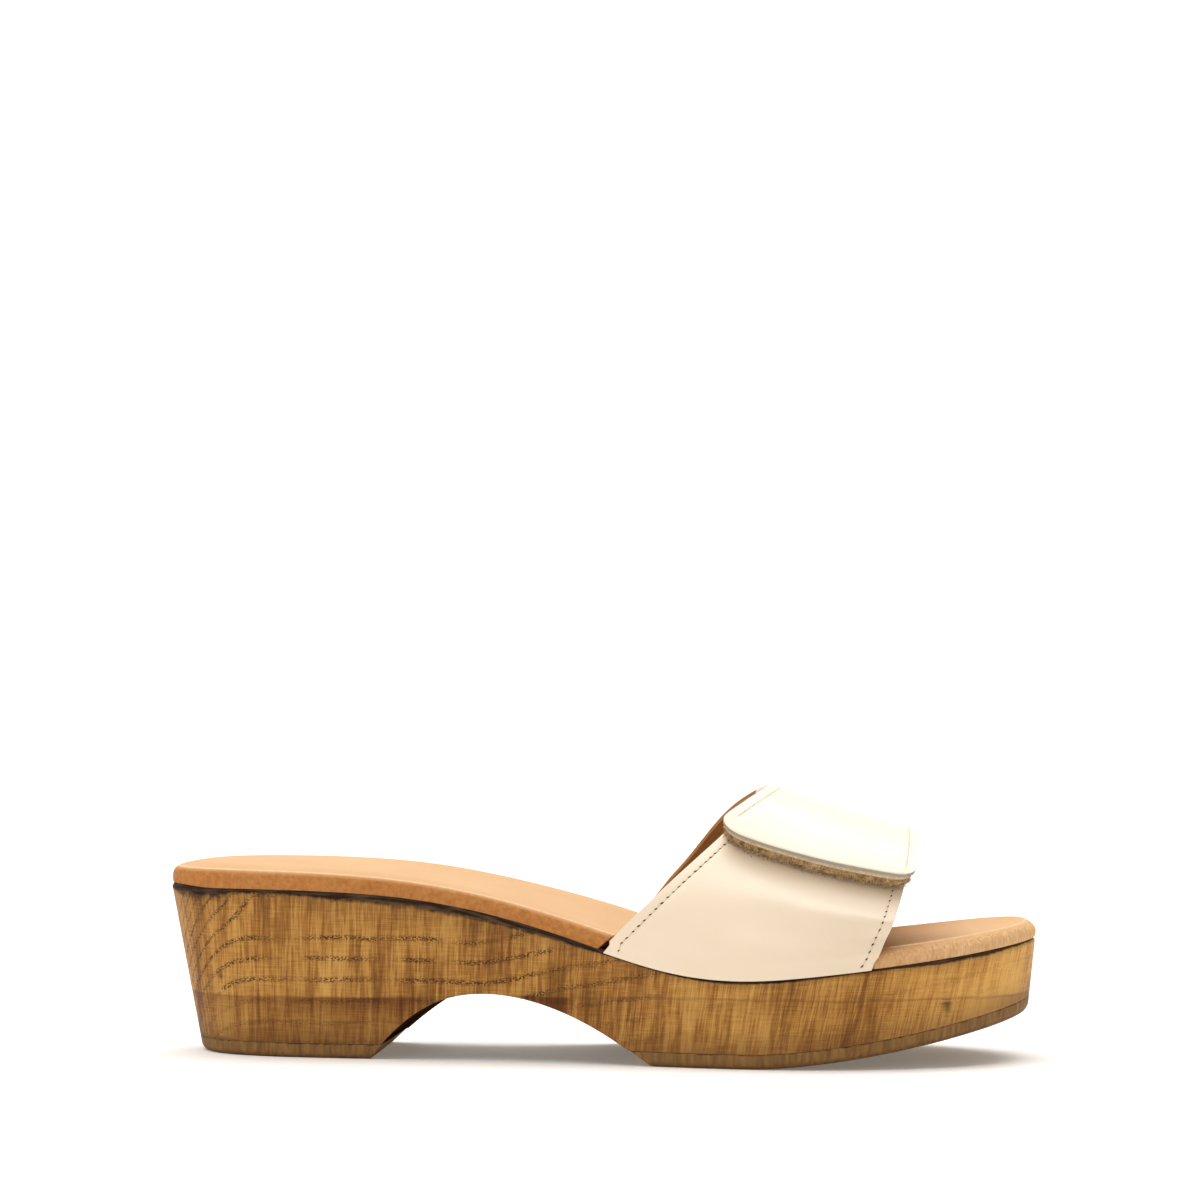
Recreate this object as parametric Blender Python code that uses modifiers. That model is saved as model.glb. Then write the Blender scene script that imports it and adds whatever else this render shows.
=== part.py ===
"""Slide clog for the right foot.

A carved wooden sole carries a padded leather footbed. One lined leather strap rises from the outer
side and one from the inner side, and the inner strap's flap closes on the outer strap with a
hook-and-loop fastener.

Tables and driving dimensions are in millimetres: x from the back of the heel to the toe, y from the
heel's centre line towards the inner side of the foot, z up from the floor.
"""
import math
from collections import namedtuple

import bmesh
import bpy
import numpy as np
from mathutils import Vector

OBJECT_NAME = "slide_clog"
MM = 0.001
MERGE = 1e-7
SMOOTH_ANGLE = math.radians(35)

LATERAL = -1
MEDIAL = 1

# Overall size, and the gap kept between pieces that touch
LENGTH = 250.0
WIDTH_CENTRE = 0.38
SEAM = 0.3

# Plan outline of the wooden sole's rim, and how far its wall leans in from the rim to the floor
OutlineRow = namedtuple("OutlineRow", "x lateral medial lean")
SOLE_OUTLINE = (
    OutlineRow(0.0, 0.0, 0.0, 10.0),
    OutlineRow(10.0, -22.5, 22.5, 9.0),
    OutlineRow(30.0, -30.6, 30.4, 6.5),
    OutlineRow(60.0, -33.0, 31.5, 5.5),
    OutlineRow(95.0, -33.8, 29.0, 4.0),
    OutlineRow(130.0, -39.2, 33.0, 2.5),
    OutlineRow(165.0, -46.2, 43.0, 2.0),
    OutlineRow(195.0, -44.4, 47.4, 2.2),
    OutlineRow(220.0, -35.2, 43.4, 3.0),
    OutlineRow(238.0, -21.0, 32.6, 3.2),
    OutlineRow(250.0, 8.0, 8.0, 3.4),
)

# Side profile of the rim that the footbed lies on
ProfileRow = namedtuple("ProfileRow", "x height")
SOLE_RIM = (
    ProfileRow(0.0, 48.4),
    ProfileRow(45.0, 48.0),
    ProfileRow(70.0, 46.2),
    ProfileRow(95.0, 41.6),
    ProfileRow(120.0, 34.3),
    ProfileRow(145.0, 26.9),
    ProfileRow(165.0, 25.0),
    ProfileRow(185.0, 26.4),
    ProfileRow(215.0, 29.9),
    ProfileRow(250.0, 35.2),
)
RIM_CHAMFER_DROP = 1.4
RIM_CHAMFER_INSET = 1.0

# Underside: arch between heel and ball, toe spring, and the wear layers below the wood
ARCH_HEIGHT = 19.0
ARCH_CREST_X = 93.0
HEEL_BREAST_X = 60.0
HEEL_BREAST_POWER = 2.35
BALL_EDGE_X = 139.0
BALL_EDGE_POWER = 1.85
TOE_SPRING_X = 168.0
TOE_SPRING_HEIGHT = 14.4
TOE_SPRING_POWER = 1.5
WEAR_LAYER = 3.8
# Section of a wear layer's edge, from the floor up
WearRow = namedtuple("WearRow", "inset height")
WEAR_EDGE = (
    WearRow(1.4, 0.0),
    WearRow(0.4, 0.7),
    WearRow(0.0, 1.9),
    WearRow(0.0, WEAR_LAYER),
)

# Footbed: distance of its edge from the rim, thickness at the crest of that edge, rise on the inner
# side and depth of its dish
FootbedRow = namedtuple("FootbedRow", "x inset thickness inner_rise dish")
FOOTBED = (
    FootbedRow(0.0, 0.6, 5.9, 0.4, 0.8),
    FootbedRow(60.0, 0.9, 5.4, 1.2, 1.0),
    FootbedRow(110.0, 0.9, 5.4, 3.6, 0.6),
    FootbedRow(150.0, 0.9, 6.0, 2.2, 0.5),
    FootbedRow(200.0, 0.9, 5.2, 0.2, 0.8),
    FootbedRow(250.0, 0.0, 4.6, 0.6, 0.5),
)
# Section of the footbed's edge, from its underside up and over to the dish
EdgeRow = namedtuple("EdgeRow", "inset rise lift dish")
FOOTBED_EDGE = (
    EdgeRow(15.5, 0.0, 0.0, 0.0),
    EdgeRow(13.0, 0.0, 1.0, 0.0),
    EdgeRow(1.4, 0.0, 1.0, 0.0),
    EdgeRow(0.3, 0.16, 0.84, 0.0),
    EdgeRow(0.0, 0.42, 0.58, 0.0),
    EdgeRow(0.6, 0.72, 0.28, 0.0),
    EdgeRow(2.0, 0.92, 0.08, 0.0),
    EdgeRow(4.6, 1.0, 0.0, 0.0),
    EdgeRow(9.0, 1.0, 0.0, 0.5),
    EdgeRow(15.5, 1.0, 0.0, 1.0),
)
INNER_RISE_FROM_Y = -8.0
INNER_RISE_TO_Y = 28.0

# Straps: wall of outer leather and lining, margin turned in under the footbed, fold at the rim
STRAP = 2.0
MARGIN = 12.0
FOLD = 1.0
FOLD_TOP = SEAM + STRAP + FOLD
STRAP_SEAT = (120.0, 206.0)
STRAP_SEAT_EASE = 8.0

# Sections of the last under the straps: each is a plane that leans towards the toe
LastRow = namedtuple("LastRow", "share x lean curl crown crown_y")
LAST = (
    LastRow(0.0, 128.6, 1.13, -0.0018, 71.0, 6.0),
    LastRow(0.5, 165.2, 0.86, -0.0044, 64.0, 5.0),
    LastRow(1.0, 201.6, 0.59, -0.0070, 57.9, 4.0),
)
# How the last's sides leave the rim and round over to the crown, and how far they follow its flare
SideRow = namedtuple("SideRow", "bulge rise spread")
LAST_SIDE = {LATERAL: SideRow(1.2, 0.46, 0.46), MEDIAL: SideRow(0.8, 0.60, 0.58)}
FLARE = 0.7
# The medial strap's rear edge bows back below the crown
MEDIAL_REAR_BOW = 5.0
BOW_GIRTH = 0.36
BOW_REACH = 0.48

# Fastener: hook tape on the lateral strap, loop tape under the flap
HOOK_TAPE = 0.6
LOOP_TAPE = 2.2
LAP = STRAP + HOOK_TAPE + LOOP_TAPE + 3 * SEAM
LATERAL_STRAP_END = -0.04
LAP_RISE = (0.90, 0.0)
HOOK_TAPE_GIRTH = (-0.34, -0.08)
HOOK_TAPE_SHARE = (0.14, 0.86)
LOOP_TAPE_GIRTH = -0.06
LOOP_TAPE_SETBACK = 0.008

# Flap: girth at which it ends, and its edges as shares of the strap's width at the crown and at its end
FlapRow = namedtuple("FlapRow", "share girth")
FLAP_END = (
    FlapRow(0.0, -0.42),
    FlapRow(0.5, -0.495),
    FlapRow(1.0, -0.565),
)
FLAP_REAR = (0.06, -0.055)
FLAP_FRONT = (1.03, 1.03)
FLAP_CORNER_SHARE = 0.10
FLAP_CORNER_GIRTH = 0.07

# Finishes: sRGB colour and roughness
Finish = namedtuple("Finish", "colour roughness")
FINISHES = {
    "stained_wood": Finish((166, 117, 62), 0.55),
    "heel_rubber": Finish((118, 89, 60), 0.7),
    "outsole_rubber": Finish((117, 89, 60), 0.7),
    "tan_leather": Finish((214, 160, 106), 0.5),
    "ivory_leather": Finish((248, 234, 214), 0.4),
    "hook_tape": Finish((205, 190, 165), 0.8),
    "loop_tape": Finish((190, 165, 130), 0.95),
}

# Facets
SOLE_STATIONS = 60
WEAR_STATIONS = 30
FOOTBED_STATIONS = 44
STRAP_COLUMNS = 10
FOLD_STEPS = 3
LATERAL_ROWS = 16
MEDIAL_ROWS = 28
TAPE_ROWS = 8
WALL_PASSES = 8


class Curve:
    """Smooth curve through a short table of values: a natural cubic spline."""

    def __init__(self, knots, values):
        self.knots = np.array(knots, dtype=float)
        self.values = np.array(values, dtype=float)
        gaps = np.diff(self.knots)
        slopes = np.diff(self.values) / gaps
        system = np.eye(len(knots))
        bends = np.zeros(len(knots))
        for i in range(1, len(knots) - 1):
            system[i, i - 1:i + 2] = gaps[i - 1], 2 * (gaps[i - 1] + gaps[i]), gaps[i]
            bends[i] = 6 * (slopes[i] - slopes[i - 1])
        self.bends = np.linalg.solve(system, bends)

    def __call__(self, at):
        i = int(np.clip(np.searchsorted(self.knots, at) - 1, 0, len(self.knots) - 2))
        gap = self.knots[i + 1] - self.knots[i]
        after = (at - self.knots[i]) / gap
        before = 1 - after
        bend = (before ** 3 - before) * self.bends[i] + (after ** 3 - after) * self.bends[i + 1]
        return float(before * self.values[i] + after * self.values[i + 1] + bend * gap * gap / 6)


def column_curve(rows, column, knot="x"):
    return Curve([getattr(row, knot) for row in rows], [getattr(row, column) for row in rows])


def ease(value):
    """Step from 0 to 1 with a soft start and end."""
    value = min(max(value, 0.0), 1.0)
    return value * value * (3 - 2 * value)


def between(start, end, share):
    return start + (end - start) * share


def station_angle(x):
    """Angle that spaces stations along the sole closely at its round ends."""
    return math.acos(min(max(1 - 2 * x / LENGTH, -1.0), 1.0))


OUTLINE_ANGLES = [station_angle(row.x) for row in SOLE_OUTLINE]
EDGE = {
    LATERAL: Curve(OUTLINE_ANGLES, [row.lateral for row in SOLE_OUTLINE]),
    MEDIAL: Curve(OUTLINE_ANGLES, [row.medial for row in SOLE_OUTLINE]),
}
WALL_LEAN = Curve(OUTLINE_ANGLES, [row.lean for row in SOLE_OUTLINE])
rim_height = column_curve(SOLE_RIM, "height")
footbed_inset = column_curve(FOOTBED, "inset")
footbed_thickness = column_curve(FOOTBED, "thickness")
footbed_inner_rise = column_curve(FOOTBED, "inner_rise")
footbed_dish = column_curve(FOOTBED, "dish")
last_x = column_curve(LAST, "x", "share")
last_lean = column_curve(LAST, "lean", "share")
last_curl = column_curve(LAST, "curl", "share")
last_crown = column_curve(LAST, "crown", "share")
last_crown_y = column_curve(LAST, "crown_y", "share")
flap_end = column_curve(FLAP_END, "girth", "share")


def rim_point(side, angle):
    return Vector((LENGTH * (1 - math.cos(angle)) / 2, EDGE[side](angle)))


def inward(side, angle, step=1e-4):
    """Unit vector from the rim into the sole, square to the outline."""
    ahead = rim_point(side, min(angle + step, math.pi))
    behind = rim_point(side, max(angle - step, 0.0))
    along = (ahead - behind).normalized()
    return Vector((along.y, -along.x)) * side


def edge_y(side, x):
    return EDGE[side](station_angle(x))


def on_wall(side, angle, height, inset=0.0):
    """Point where the sole's leaning wall, moved in by inset, meets a surface of height(x)."""
    rim = rim_point(side, angle)
    into = inward(side, angle)
    spot = rim
    for _ in range(WALL_PASSES):
        down = 1 - height(spot.x) / (rim_height(rim.x) - RIM_CHAMFER_DROP)
        spot = rim + into * (inset + WALL_LEAN(angle) * down)
    return Vector((spot.x, spot.y, height(spot.x)))


def tread(x):
    """Height of the walking surface: flat under heel and ball, rising at the toe."""
    along = max(x - TOE_SPRING_X, 0.0) / (LENGTH - TOE_SPRING_X)
    return TOE_SPRING_HEIGHT * along ** TOE_SPRING_POWER


def arch(x):
    """Height of the arch, below zero under the heel and under the ball."""
    if x < ARCH_CREST_X:
        reach = (ARCH_CREST_X - x) / (ARCH_CREST_X - HEEL_BREAST_X)
        return ARCH_HEIGHT * (1 - reach ** HEEL_BREAST_POWER)
    reach = (x - ARCH_CREST_X) / (BALL_EDGE_X - ARCH_CREST_X)
    return ARCH_HEIGHT * (1 - reach ** BALL_EDGE_POWER)


def arch_foot(side_of_crest, height):
    """Place where the arch comes down to a height, before (-1) or after (1) its crest."""
    share = 1 - height / ARCH_HEIGHT
    if side_of_crest < 0:
        return ARCH_CREST_X - (ARCH_CREST_X - HEEL_BREAST_X) * share ** (1 / HEEL_BREAST_POWER)
    return ARCH_CREST_X + (BALL_EDGE_X - ARCH_CREST_X) * share ** (1 / BALL_EDGE_POWER)


def wood_underside(x):
    return max(arch(x), tread(x) + WEAR_LAYER + SEAM)


def stations(count, start=0.0, end=math.pi, extra=()):
    """Angles from start to end, evenly spaced, with extra ones at given places along the sole."""
    angles = [between(start, end, i / count) for i in range(count + 1)]
    angles += [station_angle(x) for x in extra]
    return sorted(angles)


def ring(angles, point):
    """Closed loop round the sole: towards the toe on the lateral side, back on the medial side."""
    return [point(LATERAL, a) for a in angles] + [point(MEDIAL, a) for a in reversed(angles)]


def make_material(name):
    """Principled material of one of the finishes, shared by the pieces that have it."""
    if name in bpy.data.materials:
        return bpy.data.materials[name]
    finish = FINISHES[name]
    material = bpy.data.materials.new(name)
    material.use_nodes = True
    shader = material.node_tree.nodes["Principled BSDF"]
    linear = [((c / 255 + 0.055) / 1.055) ** 2.4 for c in finish.colour]
    shader.inputs["Base Color"].default_value = (*linear, 1.0)
    shader.inputs["Roughness"].default_value = finish.roughness
    shader.inputs["Metallic"].default_value = 0.0
    material.diffuse_color = (*linear, 1.0)
    return material


def add_piece(name, bm, finish):
    """Object from a mesh, shaded smooth and placed under the clog's empty."""
    mesh = bpy.data.meshes.new(name)
    bm.to_mesh(mesh)
    bm.free()
    mesh.shade_smooth()
    mesh.set_sharp_from_angle(angle=SMOOTH_ANGLE)
    mesh.materials.append(make_material(finish))
    piece = bpy.data.objects.new(name, mesh)
    piece.parent = bpy.data.objects[OBJECT_NAME]
    bpy.data.collections[OBJECT_NAME].objects.link(piece)
    return piece


def loft(name, rings, finish):
    """Closed solid through a stack of rings, capped across from lateral to medial side."""
    bm = bmesh.new()
    loops = [[bm.verts.new(point * MM) for point in points] for points in rings]
    count = len(loops[0])
    for lower, upper in zip(loops, loops[1:]):
        for i in range(count):
            j = (i + 1) % count
            bm.faces.new((lower[i], lower[j], upper[j], upper[i]))
    for loop in (loops[0], loops[-1]):
        for i in range(count // 2 - 1):
            bm.faces.new((loop[i], loop[i + 1], loop[-i - 2], loop[-i - 1]))
    bmesh.ops.remove_doubles(bm, verts=bm.verts, dist=MERGE)
    bmesh.ops.recalc_face_normals(bm, faces=bm.faces)
    add_piece(name, bm, finish)


def shell(name, columns, thickness, finish):
    """Sheet thickened outwards from the foot.

    Its columns follow each other from heel to toe, and each runs from the lateral to the medial side.
    """
    bm = bmesh.new()
    grid = [[bm.verts.new(point * MM) for point in column] for column in columns]
    for rear, front in zip(grid, grid[1:]):
        for i in range(len(rear) - 1):
            bm.faces.new((rear[i], front[i], front[i + 1], rear[i + 1]))
    piece = add_piece(name, bm, finish)
    solidify = piece.modifiers.new("wall", "SOLIDIFY")
    solidify.thickness = thickness * MM
    solidify.offset = 1.0
    solidify.use_even_offset = True
    solidify.use_quality_normals = True


def make_wooden_sole():
    angles = stations(SOLE_STATIONS, extra=(
        HEEL_BREAST_X,
        arch_foot(-1, WEAR_LAYER + SEAM),
        arch_foot(1, WEAR_LAYER + SEAM),
        BALL_EDGE_X,
    ))
    rings = [
        ring(angles, lambda side, a: on_wall(side, a, wood_underside)),
        ring(angles, lambda side, a: on_wall(side, a, lambda x: rim_height(x) - RIM_CHAMFER_DROP)),
        ring(angles, lambda side, a: on_wall(side, a, rim_height, RIM_CHAMFER_INSET)),
    ]
    loft("wooden_sole", rings, "stained_wood")


def wear_layer_rings(angles_at):
    """Rings of a wear layer with a rounded lower edge; angles_at(height) gives its stations there."""
    return [
        ring(
            angles_at(row.height),
            lambda side, a, row=row: on_wall(side, a, lambda x: tread(x) + row.height, row.inset),
        )
        for row in WEAR_EDGE
    ]


def make_heel_top_lift():
    def angles_at(height):
        return stations(WEAR_STATIONS, end=station_angle(arch_foot(-1, height)))

    loft("heel_top_lift", wear_layer_rings(angles_at), "heel_rubber")


def make_forefoot_outsole():
    def angles_at(height):
        return stations(WEAR_STATIONS, start=station_angle(arch_foot(1, height)))

    loft("forefoot_outsole", wear_layer_rings(angles_at), "outsole_rubber")


def strap_seat(x):
    """1 where the straps' margins lie under the footbed, easing to 0 before and behind them."""
    rear, front = STRAP_SEAT
    return ease((x - rear) / STRAP_SEAT_EASE + 1) * ease((front - x) / STRAP_SEAT_EASE + 1)


def footbed_point(row, side, angle):
    rim = rim_point(side, angle)
    seat = strap_seat(rim.x)
    inset = row.inset + between(footbed_inset(rim.x), STRAP + 2 * SEAM, seat)
    spot = rim + inward(side, angle) * inset
    inner = ease((spot.y - INNER_RISE_FROM_Y) / (INNER_RISE_TO_Y - INNER_RISE_FROM_Y))
    z = rim_height(spot.x) + SEAM
    z += row.lift * seat * (STRAP + SEAM)
    z += row.rise * (footbed_thickness(spot.x) + inner * footbed_inner_rise(spot.x))
    z -= row.dish * footbed_dish(spot.x)
    return Vector((spot.x, spot.y, z))


def make_footbed():
    angles = stations(FOOTBED_STATIONS)
    rings = [ring(angles, lambda side, a, row=row: footbed_point(row, side, a)) for row in FOOTBED_EDGE]
    loft("footbed", rings, "tan_leather")


def last_point(share, girth):
    """Point on the last: girth runs from -1 at the lateral rim over the crown at 0 to 1 medially."""
    side = LATERAL if girth < 0 else MEDIAL
    form = LAST_SIDE[side]
    x = last_x(share)
    foot = Vector((edge_y(side, x) - side * STRAP, rim_height(x) + FOLD_TOP))
    crown = Vector((last_crown_y(share), last_crown(share)))
    climb = form.rise * (crown.y - foot.y)
    widening = edge_y(side, x + 1) - edge_y(side, x)
    leave = foot + Vector((side * form.bulge + FLARE * widening * last_lean(share) * climb, climb))
    arrive = crown + Vector((form.spread * (foot.x - crown.x), 0.0))
    t = 1 - abs(girth)
    s = 1 - t
    section = s ** 3 * foot + 3 * s * s * t * leave + 3 * s * t * t * arrive + t ** 3 * crown
    climbed = section.y - foot.y
    x += (last_lean(share) + last_curl(share) * climbed) * climbed
    x -= MEDIAL_REAR_BOW * (1 - share) * ease(1 - abs(girth - BOW_GIRTH) / BOW_REACH)
    return Vector((x, section.x, section.y))


def off_last(share, girth, offset, step=1e-3):
    """Point at a height above the last, measured square to it."""
    along = last_point(share + step, girth) - last_point(share - step, girth)
    around = last_point(share, girth + step) - last_point(share, girth - step)
    return last_point(share, girth) + around.cross(along).normalized() * -offset


def margin_points(side, share):
    """Inner face of the margin and of the fold that brings the strap up at the rim."""
    def place(inset, height):
        x = last_x(share) + last_lean(share) * (height - FOLD_TOP)
        return Vector((x, edge_y(side, x) - side * inset, rim_height(x) + height))

    points = [place(MARGIN, SEAM + STRAP)]
    for i in range(FOLD_STEPS):
        turn = math.pi / 2 * i / FOLD_STEPS
        points.append(place(STRAP + FOLD * (1 - math.sin(turn)), FOLD_TOP - FOLD * math.cos(turn)))
    return points


def strap_shares():
    """Shares of the strap's width, closer together at its edges."""
    return [(1 - math.cos(math.pi * i / STRAP_COLUMNS)) / 2 for i in range(STRAP_COLUMNS + 1)]


def make_lateral_strap():
    columns = []
    for share in strap_shares():
        girths = [between(-1.0, LATERAL_STRAP_END, i / LATERAL_ROWS) for i in range(LATERAL_ROWS + 1)]
        columns.append(margin_points(LATERAL, share) + [last_point(share, g) for g in girths])
    shell("lateral_strap", columns, STRAP, "ivory_leather")


def lap(girth):
    """Height of the medial strap's inner face above the last: it climbs onto the fastener."""
    start, end = LAP_RISE
    return LAP * ease((start - girth) / (start - end))


def flap_share(share, girth):
    """Share of the strap's width at a girth, with the flap's own edges past the crown."""
    past = min(max(girth / flap_end(share), 0.0), 1.0) if girth < 0 else 0.0
    closing = ease(1 - girth / LAP_RISE[0]) if girth > 0 else 1.0
    rear = between(0.0, between(*FLAP_REAR, past), closing)
    front = between(1.0, between(*FLAP_FRONT, past), closing)
    return between(rear, front, share)


def flap_limit(share):
    """Girth at which the flap ends, with its two corners rounded."""
    into_corner = max(abs(share - 0.5) - (0.5 - FLAP_CORNER_SHARE), 0.0) / FLAP_CORNER_SHARE
    return flap_end(share) + FLAP_CORNER_GIRTH * (1 - math.sqrt(1 - min(into_corner, 1.0) ** 2))


def make_medial_strap():
    columns = []
    for share in strap_shares():
        column = margin_points(MEDIAL, share)
        for i in range(MEDIAL_ROWS + 1):
            girth = between(1.0, flap_limit(share), i / MEDIAL_ROWS)
            column.append(off_last(flap_share(share, girth), girth, lap(girth)))
        columns.append(column[::-1])
    shell("medial_strap", columns, STRAP, "ivory_leather")


def make_hook_tape():
    columns = []
    for share in strap_shares():
        girths = [between(*HOOK_TAPE_GIRTH, i / TAPE_ROWS) for i in range(TAPE_ROWS + 1)]
        at = between(*HOOK_TAPE_SHARE, share)
        columns.append([off_last(at, girth, STRAP + SEAM) for girth in girths])
    shell("hook_tape", columns, HOOK_TAPE, "hook_tape")


def make_loop_tape():
    columns = []
    for share in strap_shares():
        column = []
        end = flap_limit(share) + LOOP_TAPE_SETBACK
        for i in range(TAPE_ROWS + 1):
            girth = between(end, LOOP_TAPE_GIRTH, i / TAPE_ROWS)
            at = between(LOOP_TAPE_SETBACK, 1 - LOOP_TAPE_SETBACK, share)
            column.append(off_last(flap_share(at, girth), girth, LAP - SEAM - LOOP_TAPE))
        columns.append(column)
    shell("loop_tape", columns, LOOP_TAPE, "loop_tape")


def clear_scene():
    for old in list(bpy.data.objects):
        bpy.data.objects.remove(old, do_unlink=True)
    for old in list(bpy.data.collections):
        bpy.data.collections.remove(old)
    for old in list(bpy.data.materials):
        bpy.data.materials.remove(old)


def main():
    clear_scene()
    collection = bpy.data.collections.new(OBJECT_NAME)
    bpy.context.scene.collection.children.link(collection)
    stand = bpy.data.objects.new(OBJECT_NAME, None)
    stand.location = Vector((-LENGTH / 2, -WIDTH_CENTRE, 0.0)) * MM
    collection.objects.link(stand)

    make_wooden_sole()
    make_heel_top_lift()
    make_forefoot_outsole()
    make_footbed()
    make_lateral_strap()
    make_medial_strap()
    make_hook_tape()
    make_loop_tape()


main()
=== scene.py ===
import math

import bmesh
import bpy
import numpy as np
from mathutils import Matrix, Vector


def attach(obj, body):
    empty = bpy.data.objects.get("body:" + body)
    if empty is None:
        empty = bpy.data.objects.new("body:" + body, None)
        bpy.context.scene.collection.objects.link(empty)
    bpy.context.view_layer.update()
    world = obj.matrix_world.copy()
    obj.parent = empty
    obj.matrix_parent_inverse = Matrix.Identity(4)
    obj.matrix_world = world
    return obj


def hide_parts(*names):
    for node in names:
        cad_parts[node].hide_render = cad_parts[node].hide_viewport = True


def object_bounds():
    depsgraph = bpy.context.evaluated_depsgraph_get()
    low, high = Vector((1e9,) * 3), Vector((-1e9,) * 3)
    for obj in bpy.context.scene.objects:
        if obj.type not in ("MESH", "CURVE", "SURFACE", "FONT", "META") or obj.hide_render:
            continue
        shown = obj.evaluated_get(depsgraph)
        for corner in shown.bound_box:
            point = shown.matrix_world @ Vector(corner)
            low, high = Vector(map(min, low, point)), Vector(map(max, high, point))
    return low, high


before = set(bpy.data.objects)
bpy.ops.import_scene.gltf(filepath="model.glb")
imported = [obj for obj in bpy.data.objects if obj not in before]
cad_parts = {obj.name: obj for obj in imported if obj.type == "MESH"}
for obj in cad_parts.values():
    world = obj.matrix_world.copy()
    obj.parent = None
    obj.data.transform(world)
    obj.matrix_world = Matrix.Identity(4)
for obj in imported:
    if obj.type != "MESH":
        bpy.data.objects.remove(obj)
cadLow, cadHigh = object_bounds()
print("frame:", ", ".join(sorted(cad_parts)))

# The clog is worked out in millimetres: x from the back of the heel, y towards the inner side, z up
mm = 0.001
lateral, medial = -1, 1
draw = np.random.default_rng(21)


def spline(knots, values):
    # natural cubic through a short table, read at one place or at many
    k, v = np.array(knots, float), np.array(values, float)
    gap = np.diff(k)
    slope = np.diff(v) / gap
    system, bend = np.eye(len(k)), np.zeros(len(k))
    for i in range(1, len(k) - 1):
        system[i, i - 1:i + 2] = gap[i - 1], 2 * (gap[i - 1] + gap[i]), gap[i]
        bend[i] = 6 * (slope[i] - slope[i - 1])
    bend = np.linalg.solve(system, bend)

    def read(at):
        i = np.clip(np.searchsorted(k, at) - 1, 0, len(k) - 2)
        after = (at - k[i]) / gap[i]
        before = 1 - after
        curved = (before ** 3 - before) * bend[i] + (after ** 3 - after) * bend[i + 1]
        return before * v[i] + after * v[i + 1] + curved * gap[i] ** 2 / 6

    return read


def column(rows, index):
    return spline([row[0] for row in rows], [row[index] for row in rows])


def ease(value):
    value = np.clip(value, 0, 1)
    return value * value * (3 - 2 * value)


def between(start, end, share):
    return start + (end - start) * share


def unit(vectors):
    return vectors / np.maximum(np.linalg.norm(vectors, axis=-1, keepdims=True), 1e-9)


def runLength(points):
    # distance along a row of points from its first
    return np.linalg.norm(np.diff(points, axis=0, prepend=points[:1]), axis=1).cumsum()


def readAlong(places, run, points):
    return np.column_stack([np.interp(places, run, values) for values in points.T])


# The form of the sole, as the CAD has it
soleForm = {
    "length": 250.0,
    "widthCentre": 0.38,
    "seam": 0.3,
    # x, lateral edge, medial edge, lean of the wall
    "outline": (
        (0, 0, 0, 9.5), (10, -22.5, 22.5, 8.8), (30, -30.6, 30.4, 6.5), (60, -33, 31.5, 5.5),
        (95, -33.8, 29, 4), (130, -39.2, 33, 2.5), (165, -46.2, 43, 2), (195, -44.4, 47.4, 2.2),
        (220, -35.2, 43.4, 3), (238, -21, 32.6, 3.2), (250, 8, 8, 3.4),
    ),
    # x, height of the rim
    "rim": (
        (0, 48.4), (45, 48), (70, 46.2), (95, 41.6), (120, 34.3),
        (145, 26.9), (165, 25), (185, 26.4), (215, 29.9), (250, 35.2),
    ),
    "chamferDrop": 1.4,
    "chamferInset": 1.0,
    "archHeight": 19.0,
    "archCrestX": 93.0,
    "heelBreast": {lateral: (60.0, 2.35), medial: (62.5, 1.6)},  # hollowed less steeply on the inner side
    "ballEdge": (139.0, 1.85),
    "toeSpring": (168.0, 14.4, 1.5),
    "wearLayer": 3.8,
}
origin = np.array([cadLow.x / mm, -soleForm["widthCentre"], 0.0])


def stationAngle(x):
    return np.arccos(np.clip(1 - 2 * np.asarray(x, float) / soleForm["length"], -1, 1))


outlineAngles = [float(stationAngle(row[0])) for row in soleForm["outline"]]
edgeOf = {
    lateral: spline(outlineAngles, [row[1] for row in soleForm["outline"]]),
    medial: spline(outlineAngles, [row[2] for row in soleForm["outline"]]),
}
wallLean = spline(outlineAngles, [row[3] for row in soleForm["outline"]])
rimHeight = column(soleForm["rim"], 1)


def edgeY(side, x):
    angle = stationAngle(x)
    return np.where(np.asarray(side) < 0, edgeOf[lateral](angle), edgeOf[medial](angle))


def rimPoint(side, angle):
    x = soleForm["length"] * (1 - np.cos(angle)) / 2
    return np.stack([x, edgeOf[side](angle)], -1)


def inward(side, angle, step=1e-4):
    # from the rim into the sole, square to the outline
    ahead = rimPoint(side, np.minimum(angle + step, math.pi))
    behind = rimPoint(side, np.maximum(angle - step, 0))
    along = unit(ahead - behind)
    return np.stack([along[:, 1], -along[:, 0]], -1) * side


def onWall(side, angle, height, inset=0.0):
    # where the leaning wall, moved in by inset, meets a surface of height(x)
    rim, into = rimPoint(side, angle), inward(side, angle)
    spot = rim
    for _ in range(8):  # settles within a few rounds
        down = 1 - height(spot[:, 0]) / (rimHeight(rim[:, 0]) - soleForm["chamferDrop"])
        spot = rim + into * (inset + wallLean(angle) * down)[:, None]
    return np.column_stack([spot, height(spot[:, 0])])


def tread(x):
    start, height, power = soleForm["toeSpring"]
    return height * (np.maximum(x - start, 0) / (soleForm["length"] - start)) ** power


def arch(side, x):
    crest, height = soleForm["archCrestX"], soleForm["archHeight"]
    (heelX, heelPower), (toeX, toePower) = soleForm["heelBreast"][side], soleForm["ballEdge"]
    behind = np.maximum((crest - x) / (crest - heelX), 0) ** heelPower
    ahead = np.maximum((x - crest) / (toeX - crest), 0) ** toePower
    return height * (1 - behind - ahead)


def archFoot(edge, height):
    # x at which a side of the arch comes down to a height
    x, power = edge
    crest = soleForm["archCrestX"]
    return crest + (x - crest) * (1 - height / soleForm["archHeight"]) ** (1 / power)


def breastX(side, height):
    return archFoot(soleForm["heelBreast"][side], height)


def ballX(height):
    return archFoot(soleForm["ballEdge"], height)


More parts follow.
